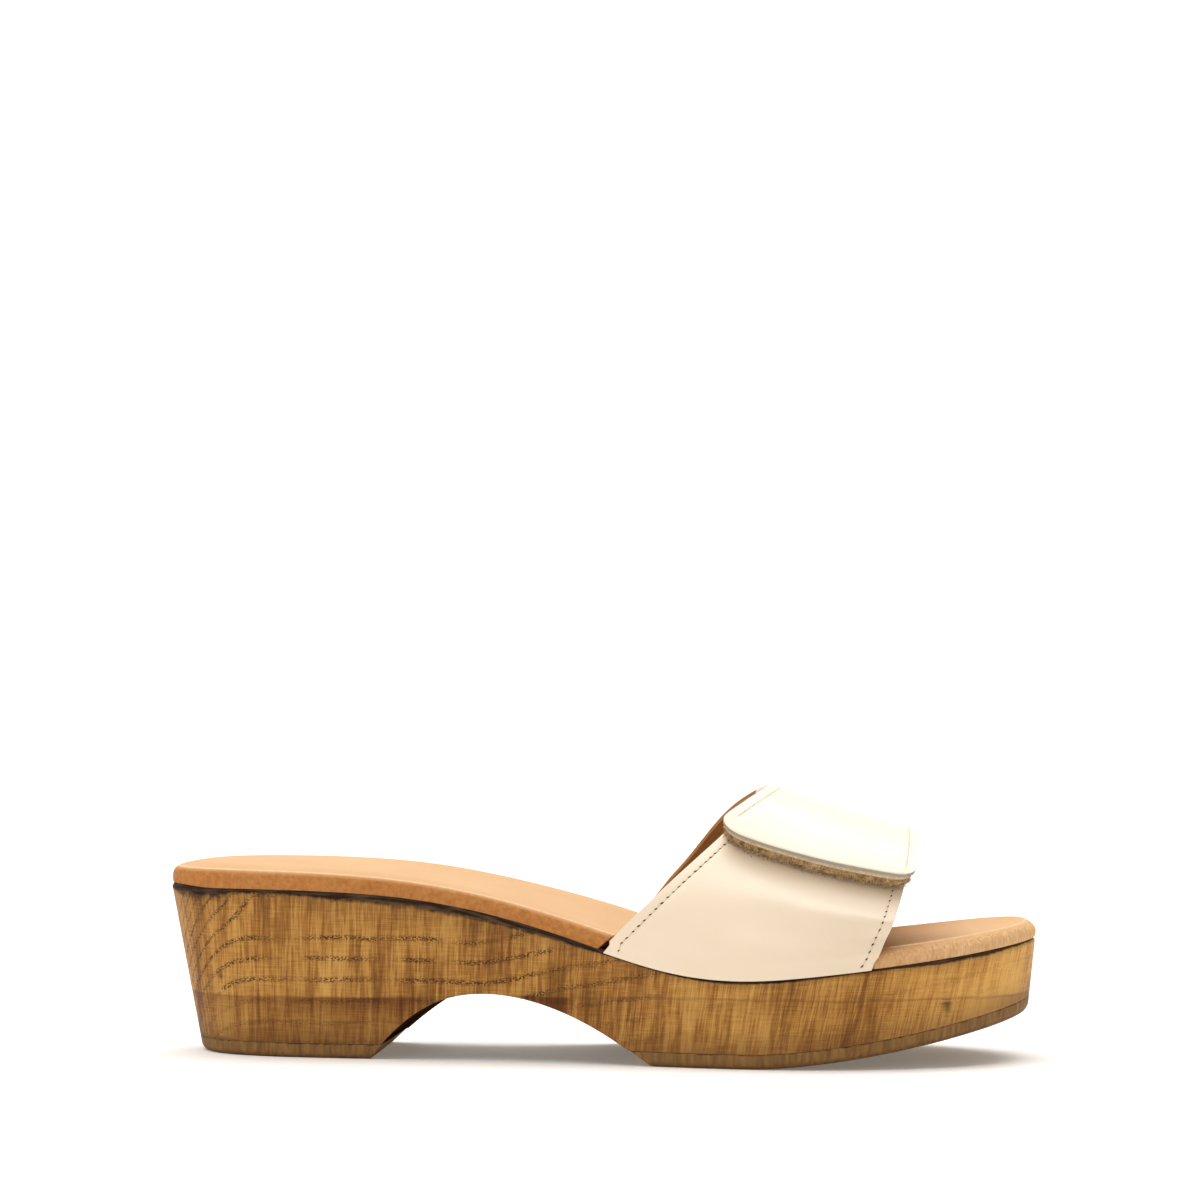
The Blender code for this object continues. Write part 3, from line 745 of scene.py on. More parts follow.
def addWearLayer(name, node, rangeOf, material):
    rows = []
    count = wearLayers["stations"]
    for inset, height in wearLayers["edge"]:
        anglesOf = {side: stations(count, *rangeOf(side, height)) for side in (lateral, medial)}
        rows.append(ring(anglesOf, lambda side, a: onWall(side, a, lambda x: tread(x) + height, inset)))
    above = np.repeat([height for inset, height in wearLayers["edge"]], len(rows[0]))
    faces = loftFaces(len(rows), len(rows[0]))
    addPiece(name, np.vstack(rows), faces, [material], [node], fields={"above": above}, weld=True)


rubber = brownRubberGround()
addWearLayer(
    "heel_top_lift_ground", "heel_top_lift",
    lambda side, height: (0.0, breastX(side, height)), rubber,
)
addWearLayer(
    "forefoot_outsole_ground", "forefoot_outsole",
    lambda side, height: (ballX(height), soleForm["length"]), rubber,
)
print("wear layers")

# Footbed: padded, wrapped in tan leather
strapWall = {"thickness": 2.0, "margin": 12.0, "fold": 1.0}
footbed = {
    # x, inset from the rim, thickness at the crest, rise on the inner side, dish
    "form": (
        (0, 0.15, 5.9, 1.0, 0.8), (60, 0.4, 5.4, 2.1, 1.0), (110, 0.5, 5.4, 4.1, 0.7),
        (130, 0.5, 5.7, 4.4, 0.7), (150, 0.5, 6.0, 3.2, 0.8), (200, 0.5, 5.2, 0.2, 1.4),
        (235, 0.2, 4.8, 0.5, 1.3), (250, -0.3, 4.6, 0.6, 1.2),
    ),
    # inset, rise, hang below the seat, dish: the wrap from its tuck over the crest to the top
    "heelEdge": (
        (1.35, 0.0, 0.05, 0.0), (0.22, 0.0, 1.22, 0.0), (0.04, 0.05, 1.0, 0.0), (0.0, 0.28, 0.2, 0.0),
        (0.22, 0.46, 0.0, 0.0), (0.75, 0.61, 0.0, 0.0), (1.7, 0.72, 0.0, 0.0), (3.4, 0.80, 0.0, 0.0),
        (8.0, 0.93, 0.0, 0.0), (15.5, 1.0, 0.0, 0.3),
    ),
    "toeEdge": (
        (1.35, 0.0, 0.05, 0.0), (0.6, 0.0, 0.5, 0.0), (0.25, 0.05, 0.42, 0.0), (0.1, 0.26, 0.1, 0.0),
        (0.6, 0.52, 0.0, 0.0), (1.7, 0.78, 0.0, 0.0), (3.0, 0.95, 0.0, 0.0), (4.2, 1.0, 0.0, 0.05),
        (8.0, 1.0, 0.0, 0.75), (15.5, 1.0, 0.0, 1.1),
    ),
    "underRows": ((15.5, 0.0), (13.0, 1.0)),  # inset and lift of the two rows under the bed
    "toeFrom": (60.0, 215.0),  # one edge turns into the other from x to x
    "heelHang": (16.0, 0.3),  # behind this x the wrap hangs less, down to this share at the back
    "edgeSteps": 44,
    "stations": 420,
    "middleSteps": 6,
    "innerRise": (-8.0, 28.0),
    # tucks in behind the straps' edges: x at the rim from and to, forward lean of the edge
    "strapRear": (124.6, 126.2, 0.75),
    "strapFront": (201.6, 200.2, 0.42),
    "tuckStations": ((120, 133), (197, 206), 0.4),  # closer stations there: x from and to, spacing
    "pucker": (2.6, 0.10),  # spacing and height of the puckers where the wrap turns round heel and toe
    "puckerEnds": ((16.0, 2.0), (226.0, 242.0)),  # x at which they begin and at which they are full
    # counted in rows of the edge tables: middle and reach
    "puckerRows": (2.6, 1.2),
    "sideRows": (4.2, 2.2),  # the wrap counts as side up to here, and turns into the top over the reach
    "crestRows": (6.1, 0.3),
    "grain": 0.5,  # about twice the real one, so that it shows
    "mottle": 1.6,
    "scratch": (0.7, 0.7, 3.2),
    "cloud": 20.0,
    "toeEdgeLighter": (150.0, 225.0, 0.0, 0.9),  # the edge from x to x, strength there
    "darkened": (203.0, 232.0, 0.75, 0.0),  # the same for the top ahead of the strap: painted shade from the strap
    "darkenedFrom": (150.0, 170.0),
}
footbedInset, footbedThickness = column(footbed["form"], 1), column(footbed["form"], 2)
footbedInnerRise, footbedDish = column(footbed["form"], 3), column(footbed["form"], 4)


def strapSeat(x, height):
    # 1 where the footbed lies on the straps' margins
    seat = 1.0
    for start, full, lean in (footbed["strapRear"], footbed["strapFront"]):
        seat = seat * ease((x - lean * height - start) / (full - start))
    return seat


def footbedRow(side, angles, section):
    # section gives inset, rise, hang, dish and lift at each station
    rim = rimPoint(side, angles)
    inset, rise, hang, dish, lift = section(rim[:, 0])
    hang = hang * between(footbed["heelHang"][1], 1.0, ease(rim[:, 0] / footbed["heelHang"][0]))
    seat = strapSeat(rim[:, 0], rise * footbedThickness(rim[:, 0]) - hang)
    edge = between(footbedInset(rim[:, 0]), strapWall["thickness"] + 2 * soleForm["seam"], seat)
    spot = rim + inward(side, angles) * (inset + edge)[:, None]
    x, y = spot[:, 0], spot[:, 1]
    low, high = footbed["innerRise"]
    inner = ease((y - low) / (high - low))
    lifted = lift * seat * (strapWall["thickness"] + soleForm["seam"])
    z = rimHeight(x) + soleForm["seam"] + lifted - hang * (1 - seat)
    z += rise * (footbedThickness(x) + inner * footbedInnerRise(x)) - dish * footbedDish(x)
    return np.column_stack([spot, z])


def tanLeatherWrapped():
    # vegetable-tanned lining leather drawn over foam: a satin top, and a darker, drier edge where it
    # is stretched round, partly painted shade on the side, with fine wrinkles and a little nap
    material, tree = newMaterial("tanLeatherWrapped", IOR=1.48, Specular_IOR_Level=0.03)
    inMm = millimetres(tree)
    x = addNode(tree, "SeparateXYZ", [inMm])
    x = addNode(tree, "Math", [x, -origin[0]], operation="ADD")
    fields = ("wrapped", "crest")
    side, crest = (addNode(tree, "Attribute", out=2, attribute_name=f) for f in fields)
    cloud = pattern(tree, "TexNoise", inMm, footbed["cloud"], {"Detail": 3.0})
    top = addNode(tree, "Mix", [cloud, "#d1a67a", "#dbb489"], data_type="RGBA")
    mottle = pattern(tree, "TexNoise", inMm, footbed["mottle"], {"Detail": 4.0, "Roughness": 0.65})
    spotty = addNode(tree, "MapRange", [mottle, 0.3, 0.7])
    # the edge is darker partly as the leather's own colour and partly as painted shade on the side
    edge = addNode(tree, "Mix", [spotty, "#ab6d38", "#c5884f"], data_type="RGBA")
    # the toe's edge is lighter, and the bed is painted darker where it comes out from the strap, as the
    # strap's shade
    scratch = pattern(tree, "TexNoise", inMm, footbed["scratch"], {"Detail": 3.0})
    scratch = addNode(tree, "MapRange", [scratch, 0.28, 0.72])
    pale = addNode(tree, "Mix", [scratch, "#d5a26c", "#f2cc9c"], data_type="RGBA")
    toeEdgeLighter = addNode(tree, "MapRange", [x, *footbed["toeEdgeLighter"]])
    edge = addNode(tree, "Mix", [toeEdgeLighter, edge, pale], data_type="RGBA")
    # painted shade: the bed is darkened ahead of the strap, where the strap shades it
    ahead = addNode(tree, "MapRange", [x, *footbed["darkenedFrom"]])
    darkened = addNode(tree, "MapRange", [x, *footbed["darkened"]])
    darkened = addNode(tree, "Math", [darkened, ahead], operation="MULTIPLY")
    top = addNode(tree, "Mix", [darkened, top, "#a8713c"], data_type="RGBA")
    colour = addNode(tree, "Mix", [side, top, edge], data_type="RGBA")
    # painted highlight: the crest is lightened in broken patches
    crestHighlight = addNode(tree, "MapRange", [spotty, 0.0, 1.0, 0.25, 0.85])
    crestHighlight = addNode(tree, "Math", [crest, crestHighlight], operation="MULTIPLY")
    colour = addNode(tree, "Mix", [crestHighlight, colour, "#f6d3a6"], data_type="RGBA")
    grain = pattern(tree, "TexVoronoi", inMm, footbed["grain"], feature="DISTANCE_TO_EDGE")
    grain = addNode(tree, "MapRange", [grain, 0.0, 0.25])
    wrinkle = addNode(tree, "Math", [mottle, side], operation="MULTIPLY")
    relief = addNode(tree, "Math", [wrinkle, 3.0, grain], operation="MULTIPLY_ADD")
    roughness = addNode(tree, "MapRange", [side, 0.0, 1.0, 0.65, 0.75])
    return dress(material, colour, relief, 0.3, 0.15, roughness)


def addPuckers(rows, steps, anglesOf):
    # puckers stand square to the wrap round the heel and the toe, no two quite alike, and die out
    # above its middle
    spacing, height = footbed["pucker"]
    middle, reach = footbed["puckerRows"]
    x = ring(anglesOf, rimPoint)[:, 0]
    ends = np.maximum(*[ease((x - start) / (full - start)) for start, full in footbed["puckerEnds"]])
    turn = runLength(rows[3][:, :2]) * 2 * math.pi / spacing
    wave = np.sin(turn + 1.7 * np.sin(turn * 0.31)) * (0.6 + 0.4 * np.sin(turn * 0.17))
    out = -ring(anglesOf, inward)
    for row, step in zip(rows, steps):
        strength = height * math.exp(-((step - middle) / reach) ** 2)
        row[:, :2] += out * (strength * ends * wave)[:, None]


def addFootbed(material):
    *tucks, spacing = footbed["tuckStations"]
    extra = np.concatenate([np.arange(start, end, spacing) for start, end in tucks])
    angles = stations(footbed["stations"], extra=extra)
    anglesOf = {lateral: angles, medial: angles}
    knots = np.arange(len(footbed["heelEdge"]))
    heelCurves, toeCurves = (
        [spline(knots, values) for values in zip(*footbed[edge])] for edge in ("heelEdge", "toeEdge")
    )
    toeFrom, toeTo = footbed["toeFrom"]

    def underSection(inset, lift):
        return lambda x: (inset, 0.0, 0.0, 0.0, lift)

    def edgeSection(step):
        def section(x):
            toe = ease((x - toeFrom) / (toeTo - toeFrom))
            curves = zip(heelCurves, toeCurves)
            inset, rise, hang, dish = (between(heel(step), front(step), toe) for heel, front in curves)
            return inset, np.clip(rise, 0, 1), np.maximum(hang, 0), dish, 1 - np.clip(rise, 0, 1)
        return section

    steps = np.linspace(0, knots[-1], footbed["edgeSteps"])
    sections = [underSection(*row) for row in footbed["underRows"]]
    sections += [edgeSection(step) for step in steps]
    rows = [ring(anglesOf, lambda s, a: footbedRow(s, a, section)) for section in sections]
    under = len(footbed["underRows"])
    addPuckers(rows[under:], steps, anglesOf)

    count = len(angles)
    top = rows[-1]
    middle = (top[:count] + top[:count - 1:-1]) / 2
    middle = np.vstack([middle, middle[::-1]])
    for share in np.linspace(0, 1, footbed["middleSteps"] + 2)[1:-1]:
        rows.append(between(top, middle, share))
    # the wrap counts as side up to the crest, along which a painted highlight runs
    (sideEnd, sideReach), (crestAt, crestReach) = footbed["sideRows"], footbed["crestRows"]
    side, crest = np.zeros(len(rows)), np.zeros(len(rows))
    side[under:under + len(steps)] = 1 - ease((steps - sideEnd) / sideReach)
    crest[under:under + len(steps)] = np.exp(-((steps - crestAt) / crestReach) ** 2)
    fields = {"wrapped": np.repeat(side, len(rows[0])), "crest": np.repeat(crest, len(rows[0]))}
    piece = addPiece(
        "footbed_wrapped", np.vstack(rows), loftFaces(len(rows), len(rows[0])), [material],
        ["footbed"], fields=fields, weld=True, sharp=60.0,
    )


addFootbed(tanLeatherWrapped())
print("footbed")

# The last under the straps
lastForm = {
    # share of the strap's width, x, lean, curl, crown, y of the crown
    "sections": (
        (0, 128.6, 1.13, -0.0018, 71.0, 6.0), (0.5, 165.2, 0.86, -0.0044, 64.0, 5.0),
        (1, 201.6, 0.59, -0.0070, 57.9, 4.0),
    ),
    # bulge, rise, spread of each side
    "lateral": (1.2, 0.46, 0.46),
    "medial": (0.8, 0.60, 0.58),
    "flare": 0.7,
    # how far the rear edges bow back, at which girth, over what reach
    "rearBow": ((1.1, -0.86, 0.30), (0.85, -0.63, 0.25), (5.5, 0.34, 0.50), (-2.4, 0.94, 0.20)),
}
lastX, lastLean, lastCurl, lastCrown, lastCrownY = (
    column(lastForm["sections"], i) for i in range(1, 6)
)
foldTop = soleForm["seam"] + strapWall["thickness"] + strapWall["fold"]


def lastPoint(share, girth):
    # girth runs from -1 at the lateral rim over the crown at 0 to 1 at the medial rim
    share, girth = np.broadcast_arrays(np.asarray(share, float), np.asarray(girth, float))
    side = np.where(girth < 0, lateral, medial)
    pairs = zip(lastForm["lateral"], lastForm["medial"])
    bulge, rise, spread = (np.where(girth < 0, *pair) for pair in pairs)
    x = lastX(share)
    footY, footZ = edgeY(side, x) - side * strapWall["thickness"], rimHeight(x) + foldTop
    crownY, crownZ = lastCrownY(share), lastCrown(share)
    climb = rise * (crownZ - footZ)
    widening = edgeY(side, x + 1) - edgeY(side, x)
    leaveY = footY + side * bulge + lastForm["flare"] * widening * lastLean(share) * climb
    arriveY = crownY + spread * (footY - crownY)
    s = np.abs(girth)
    t = 1 - s
    y = s ** 3 * footY + 3 * s * s * t * leaveY + 3 * s * t * t * arriveY + t ** 3 * crownY
    z = s ** 3 * footZ + 3 * s * s * t * (footZ + climb) + 3 * s * t * t * crownZ + t ** 3 * crownZ
    climbed = z - footZ
    x = x + (lastLean(share) + lastCurl(share) * climbed) * climbed
    for bow, middle, reach in lastForm["rearBow"]:
        x = x - bow * (1 - share) * ease(1 - np.abs(girth - middle) / reach)
    return np.stack([x, y, z], -1)


def offLast(share, girth, offset, step=1e-3):
    along = lastPoint(share + step, girth) - lastPoint(share - step, girth)
    around = lastPoint(share, girth + step) - lastPoint(share, girth - step)
    return lastPoint(share, girth) - unit(np.cross(around, along)) * np.asarray(offset)[..., None]


# Straps: ivory leather over a tan lining, closed by a flap
straps = {
    "lateralEnd": -0.04,
    "liningEnd": -0.10,  # the flap's lining stops where the loop tape takes over
    "hookTape": 0.6,
    "loopTape": 2.8,
    "lapRise": 0.90,
    # girth at which the flap ends, over the strap's width
    "flapEnd": ((0, -0.458), (0.15, -0.478), (0.4, -0.495), (0.65, -0.52), (1, -0.568)),
    "flapRear": (0.084, -0.022),
    "flapFront": (1.03, 1.03),
    "flapCorner": ((0.14, 0.065), (0.09, 0.06)),  # width and depth of the rounding, rear and front
    # inset from the rim and height over it, in shares of the overhang below 0: the outer face from
    # the margin down over the wood's edge
    "hem": (
        (1.5, 0.25), (1.0, 0.1), (0.5, -0.66), (0.22, -0.97), (0.08, -1.0), (0.0, -0.88), (0.0, 0.2),
        (0.0, 1.6),
    ),
    "overhang": ((0, 1.0), (0.25, 0.7), (0.5, 0.5), (0.8, 0.4), (1, 0.35)),
    "hemLean": 0.58,
    "marginRows": 4,
    "liningShare": {"lateral_strap": 0.40, "medial_strap": 0.30},
    # soft ridge and trough across the lateral strap: share, girth, half width in girth, height, at
    # both ends
    "creases": (
        ((0.05, -0.58, 0.085, 1.15), (1.0, -0.79, 0.055, 1.15)),
        ((0.05, -0.75, 0.095, -1.0), (1.0, -0.89, 0.05, -0.65)),
    ),
    "creaseRise": 2.5,  # how soon a crease is full: the inverse of its share of the strap's width
    "cutEdge": 0.14,
    "edgeZone": 0.08,
    "edgeColumns": 16,
    "middleColumns": 56,
    "rows": 120,
    "flapRows": 160,
    "stitchFromEdge": 2.9,
    "stitchPitch": 2.3,
    "stitchJitter": 0.10,
    "seamEnds": (0.92, 0.5),  # left free before the first stitch and after the last
    "stitchEnds": (0.14, 0.86),  # the thread dives in at these shares of a stitch
    "stitchPoints": 7,
    "stitchGroove": 0.1,
    "grooveReach": 0.6,
    "thread": 0.22,
    "threadSides": 6,
    "hole": (0.54, 0.256),  # half length along the seam, half width
    "holeSpread": (0.75, 1.25),  # no two quite alike
    "holeCorners": 10,
    "holeLift": 0.05,
    "holeSpeck": 0.769,
    "firstStitchRow": 10,
    "rowsAfterStitches": 4,
    "smoothRows": 13,  # a seam's line is evened out over so many rows
    "tanRows": 110,
    "cloud": 16.67,
    "grain": 0.45,  # coarser than the hide's own, so that it just shows
    "ripple": 2.857,
    "fleck": 0.4,
    "pigskinCloud": 8.333,
    "pigskinPore": 1.1,
    "ply": 0.833,
}
lapHeight = strapWall["thickness"] + straps["hookTape"] + straps["loopTape"] + 3 * soleForm["seam"]
flapEnd, hemOverhang = column(straps["flapEnd"], 1), column(straps["overhang"], 1)


def strapShares():
    # columns lie closer together along both edges, where the stitches sink in
    zone = straps["edgeZone"]
    rear = np.linspace(0, zone, straps["edgeColumns"], endpoint=False)
    middle = np.linspace(zone, 1 - zone, straps["middleColumns"], endpoint=False)
    front = np.linspace(1 - zone, 1, straps["edgeColumns"] + 1)
    return np.concatenate([rear, middle, front])


def lap(girth):
    return lapHeight * ease((straps["lapRise"] - girth) / straps["lapRise"])


def flapShare(share, girth):
    past = np.where(girth < 0, np.clip(girth / flapEnd(share), 0, 1), 0.0)
    closing = np.where(girth > 0, ease(1 - girth / straps["lapRise"]), 1.0)
    rear = closing * between(*straps["flapRear"], past)
    front = between(1.0, between(*straps["flapFront"], past), closing)
    return between(rear, front, share)


def flapLimit(share):
    limit = flapEnd(share)
    for (width, depth), edge in zip(straps["flapCorner"], (0.0, 1.0)):
        corner = np.clip(1 - np.abs(share - edge) / width, 0, 1)
        limit = limit + depth * (1 - np.sqrt(1 - corner ** 2))
    return limit


def hemRows(side, share):
    # inner and outer face of the margin under the footbed and of the fold at the rim
    thickness, fold, seam = strapWall["thickness"], strapWall["fold"], soleForm["seam"]

    def place(inset, height):
        height = height * hemOverhang(share) if height < 0 else height
        x = lastX(share) + straps["hemLean"] * lastLean(share) * (height - foldTop)
        return np.stack([x, edgeY(side, x) - side * inset, rimHeight(x) + height], -1)

    reach = np.linspace(strapWall["margin"], thickness + 2 * fold, straps["marginRows"])
    inner = [place(inset, seam + thickness) for inset in reach]
    for turn in np.linspace(0, math.pi / 2, len(straps["hem"]), endpoint=False):
        inner.append(place(thickness + fold * (1 - math.sin(turn)), foldTop - fold * math.cos(turn)))
    reach = np.linspace(strapWall["margin"], thickness, straps["marginRows"])
    outer = [place(inset, seam) for inset in reach]
    outer += [place(inset, height) for inset, height in straps["hem"]]
    return inner, outer


def creaseHeight(share, girth):
    height = np.zeros_like(share)
    for start, end in straps["creases"]:
        reach = np.clip((share - start[0]) / (end[0] - start[0]), 0, 1)
        middle, half, rise = (between(start[i], end[i], reach) for i in (1, 2, 3))
        height += rise * ease(reach * straps["creaseRise"]) * np.exp(-((girth - middle) / half) ** 2)
    return height


def lateralGrids():
    # rows from the margin to the crown, columns from rear to front
    share = strapShares()
    inner, outer = hemRows(lateral, share)
    for girth in np.linspace(-1.0, straps["lateralEnd"], straps["rows"]):
        fold = creaseHeight(share, girth)
        inner.append(offLast(share, girth, fold))
        outer.append(offLast(share, girth, fold + strapWall["thickness"]))
    return np.array(inner), np.array(outer)


def medialGrids(end):
    # the same over the crown to the flap's end, columns turned so that the face stays outward
    share = strapShares()
    inner, outer = hemRows(medial, share)
    for step in np.linspace(0, 1, straps["flapRows"]):
        girth = between(1.0, end(share), step)
        at = flapShare(share, girth)
        inner.append(offLast(at, girth, lap(girth)))
        outer.append(offLast(at, girth, lap(girth) + strapWall["thickness"]))
    return np.array(inner)[:, ::-1], np.array(outer)[:, ::-1]


def edgeLoop(rows, cols):
    loop = [(0, c) for c in range(cols)] + [(r, cols - 1) for r in range(1, rows)]
    loop += [(rows - 1, c) for c in range(cols - 2, -1, -1)] + [(r, 0) for r in range(rows - 2, 0, -1)]
    return np.array(loop).T


def edgeOutward(grid, r, c):
    rows, cols = grid.shape[:2]
    return unit(grid[r, c] - grid[np.clip(r, 1, rows - 2), np.clip(c, 1, cols - 2)])


def sheetShell(low, high, bevel):
    # closed sheet between two grids, its edges cut square and lightly broken; kinds: 0 upper face,
    # 1 lower face, then the edge's upper break, wall and lower break as 2, 3, 4
    rows, cols = high.shape[:2]
    r, c = edgeLoop(rows, cols)
    through = unit(high - low)
    outward = np.zeros_like(high)
    outward[r, c] = edgeOutward(high, r, c)
    upper, lower = high - outward * bevel, low - outward * bevel
    wallHigh, wallLow = (high - through * bevel)[r, c], (low + through * bevel)[r, c]
    points = np.vstack([upper.reshape(-1, 3), lower.reshape(-1, 3), wallHigh, wallLow])
    index = np.arange(rows * cols).reshape(rows, cols)
    corners = (index[:-1, :-1], index[:-1, 1:], index[1:, 1:], index[1:, :-1])
    quad = np.stack(corners, -1).reshape(-1, 4)
    size, turn = rows * cols, len(r)
    faces = quad.tolist() + (quad[:, ::-1] + size).tolist()
    kinds = [0] * len(quad) + [1] * len(quad)
    loop, k = r * cols + c, np.arange(turn)
    strips = (loop, 2 * size + k, 2 * size + turn + k, loop + size)
    for i in range(3):
        here, below = strips[i], strips[i + 1]
        faces += np.stack([np.roll(here, -1), here, below, np.roll(below, -1)], 1).tolist()
        kinds += [2 + i] * turn
    return points, faces, np.array(kinds)


def ivoryCowhidePigmented():
    # full-grain cowhide with an ivory pigment finish: even, softly glossy, hardly any grain
    sockets = {"Roughness": 0.42, "IOR": 1.5, "Coat_Weight": 0.35, "Coat_Roughness": 0.3}
    material, tree = newMaterial("ivoryCowhidePigmented", **sockets)
    inMm = millimetres(tree)
    cloud = pattern(tree, "TexNoise", inMm, straps["cloud"], {"Detail": 3.0})
    colour = addNode(tree, "Mix", [cloud, "#f0dcc0", "#f5e3ca"], data_type="RGBA")
    grain = pattern(tree, "TexVoronoi", inMm, straps["grain"], feature="DISTANCE_TO_EDGE")
    grain = addNode(tree, "MapRange", [grain, 0.0, 0.2])
    ripple = pattern(tree, "TexNoise", inMm, straps["ripple"], {"Detail": 3.0})
    relief = addNode(tree, "Math", [grain, 0.25, ripple], operation="MULTIPLY_ADD")
    return dress(material, colour, relief, 0.12, 0.1)


def rawCutEdge(name, pale, dark):
    # leather cut with a knife and left raw: dry, fibrous, in short flecks
    material, tree = newMaterial(name, Roughness=0.9, IOR=1.45)
    sockets = {"Detail": 4.0, "Roughness": 0.7}
    fleck = pattern(tree, "TexNoise", millimetres(tree), straps["fleck"], sockets)
    colour = addNode(tree, "Mix", [fleck, dark, pale], data_type="RGBA")
    return dress(material, colour, fleck, 0.5, 0.15)


def tanPigskinLining():
    # pigskin lining, undyed tan: matt, dotted with hair pores
    material, tree = newMaterial("tanPigskinLining", Roughness=0.7, IOR=1.46, Specular_IOR_Level=0.3)
    inMm = millimetres(tree)
    cloud = pattern(tree, "TexNoise", inMm, straps["pigskinCloud"], {"Detail": 4.0})
    colour = addNode(tree, "Mix", [cloud, "#8d6137", "#aa7c4c"], data_type="RGBA")
    pore = pattern(tree, "TexVoronoi", inMm, straps["pigskinPore"])
    pore = addNode(tree, "MapRange", [pore, 0.08, 0.2, 1.0, 0.0])
    colour = addNode(tree, "Mix", [pore, colour, "#6d4322"], data_type="RGBA")
    relief = addNode(tree, "Math", [pore, -1.0, cloud], operation="MULTIPLY_ADD")
    return dress(material, colour, relief, 0.3, 0.12)


def creamThreadTwisted():
    # bonded polyester thread, cream: a slight gloss, twisted in two plies
    material, tree = newMaterial("creamThreadTwisted", Roughness=0.5, IOR=1.53)
    twist = {"Distortion": 1.0}
    ply = pattern(tree, "TexWave", millimetres(tree), straps["ply"], twist, bands_direction="DIAGONAL")
    colour = addNode(tree, "Mix", [ply, "#dcc8a8", "#f2e2c8"], data_type="RGBA")
    return dress(material, colour, ply, 0.4, 0.1)


def needleHoleShade(name, dark, pale):
    # painted shade in the open mouth of a needle hole: matt and darker than the leather, more so where
    # the thread is slack
    material, tree = newMaterial(name, Roughness=1.0, Specular_IOR_Level=0.0)
    speck = pattern(tree, "TexNoise", millimetres(tree), straps["holeSpeck"])
    speck = addNode(tree, "MapRange", [speck, 0.35, 0.65])
    return dress(material, addNode(tree, "Mix", [speck, dark, pale], data_type="RGBA"))


def edgeDistances(grid):
    # distance of every point from the rear and from the front edge, square to it
    distances = []
    for edge in (grid[:, :1], grid[:, -1:]):
        along = unit(np.gradient(edge, axis=0))
        offsets = grid - edge
        offsets = offsets - np.sum(offsets * along, -1, keepdims=True) * along
        distances.append(np.linalg.norm(offsets, axis=-1))
    return distances


def stitchPath(grid, through, distance, lastRow):
    # one spot for each stitch on the outer face, evenly spaced along the edge
    rows = np.arange(straps["firstStitchRow"], lastRow)
    at = []
    for r in rows:
        order = np.argsort(distance[r])
        at.append(np.interp(straps["stitchFromEdge"], distance[r][order], order))
    window = straps["smoothRows"]
    at = np.convolve(np.pad(at, window // 2, mode="edge"), np.ones(window) / window, mode="valid")
    low = np.clip(np.floor(at).astype(int), 0, grid.shape[1] - 2)
    spots, lifts = (between(v[rows, low], v[rows, low + 1], (at - low)[:, None]) for v in (grid, through))
    run = runLength(spots)
    first, after = straps["seamEnds"]
    places = np.arange(first, run[-1] - after, straps["stitchPitch"])
    places = places + draw.normal(0, straps["stitchJitter"], len(places))
    return readAlong(places, run, spots), unit(readAlong(places, run, lifts))


def tubes(paths, radii, sides, across):
    # many short tubes at once: paths (tube, point, 3), radii (tube, point), across a vector per tube
    count, length = paths.shape[:2]
    chord = unit(paths[:, -1] - paths[:, 0])
    u = unit(across - np.sum(across * chord, -1, keepdims=True) * chord)
    v = np.cross(chord, u)
    turn = np.arange(sides) * 2 * math.pi / sides
    ringShape = u[:, None] * np.cos(turn)[:, None] + v[:, None] * np.sin(turn)[:, None]
    points = paths[:, :, None, :] + ringShape[:, None, :, :] * radii[:, :, None, None]
    base = np.arange(count)[:, None, None] * length * sides
    p = np.arange(length - 1)[None, :, None] * sides
    s = np.arange(sides)[None, None, :]
    n = (s + 1) % sides
    here, there = base + p, base + p + sides
    quads = np.stack([here + s, here + n, there + n, there + s], -1).reshape(-1, 4)
    caps = [(np.arange(sides)[::-1] + b).tolist() for b in base.ravel()]
    caps += [(np.arange(sides) + b + (length - 1) * sides).tolist() for b in base.ravel()]
    return points.reshape(-1, 3), quads.tolist() + caps


def joined(meshes):
    # several meshes as one: points, faces and the material of each face
    points, faces, kinds, size = [], [], [], 0
    for made, madeFaces, kind in meshes:
        points.append(made)
        faces += [[i + size for i in face] for face in madeFaces]
        kinds += [kind] * len(madeFaces)
        size += len(made)
    return np.vstack(points), faces, kinds


def addStitches(name, paths, thread, hole):
    meshes = []
    corners = straps["holeCorners"]
    turn = np.arange(corners) * 2 * math.pi / corners
    bow = np.sin(math.pi * np.linspace(0, 1, straps["stitchPoints"])) ** 0.6
    for spots, lifts in paths:
        start, end = spots[:-1, None, :], spots[1:, None, :]
        # the thread bows out of the leather and dives back in
        path = start + (end - start) * np.linspace(*straps["stitchEnds"], len(bow))[None, :, None]
        path = path + lifts[:-1, None, :] * (straps["thread"] * (1.1 * bow - 0.9))[None, :, None]
        radii = np.full(path.shape[:2], straps["thread"])
        meshes.append((*tubes(path, radii, straps["threadSides"], lifts[:-1]), 0))
        # each hole is a disc of painted shade, longer along the seam
        along = unit(np.gradient(spots, axis=0))
        across = unit(np.cross(lifts, along))
        sizes = draw.uniform(*straps["holeSpread"], (len(spots), 2, 1))
        length, width = straps["hole"][0] * sizes[:, 0], straps["hole"][1] * sizes[:, 1]
        disc = spots[:, None, :] + lifts[:, None, :] * straps["holeLift"]
        disc = disc + along[:, None, :] * (length * np.cos(turn + 0.5))[..., None]
        disc = disc + across[:, None, :] * (width * np.sin(turn))[..., None]
        discs = np.arange(disc.shape[0] * corners).reshape(-1, corners).tolist()
        meshes.append((disc.reshape(-1, 3), discs, 1))
    points, faces, kinds = joined(meshes)
    addPiece(name, points, faces, [thread, hole], faceMaterial=kinds)


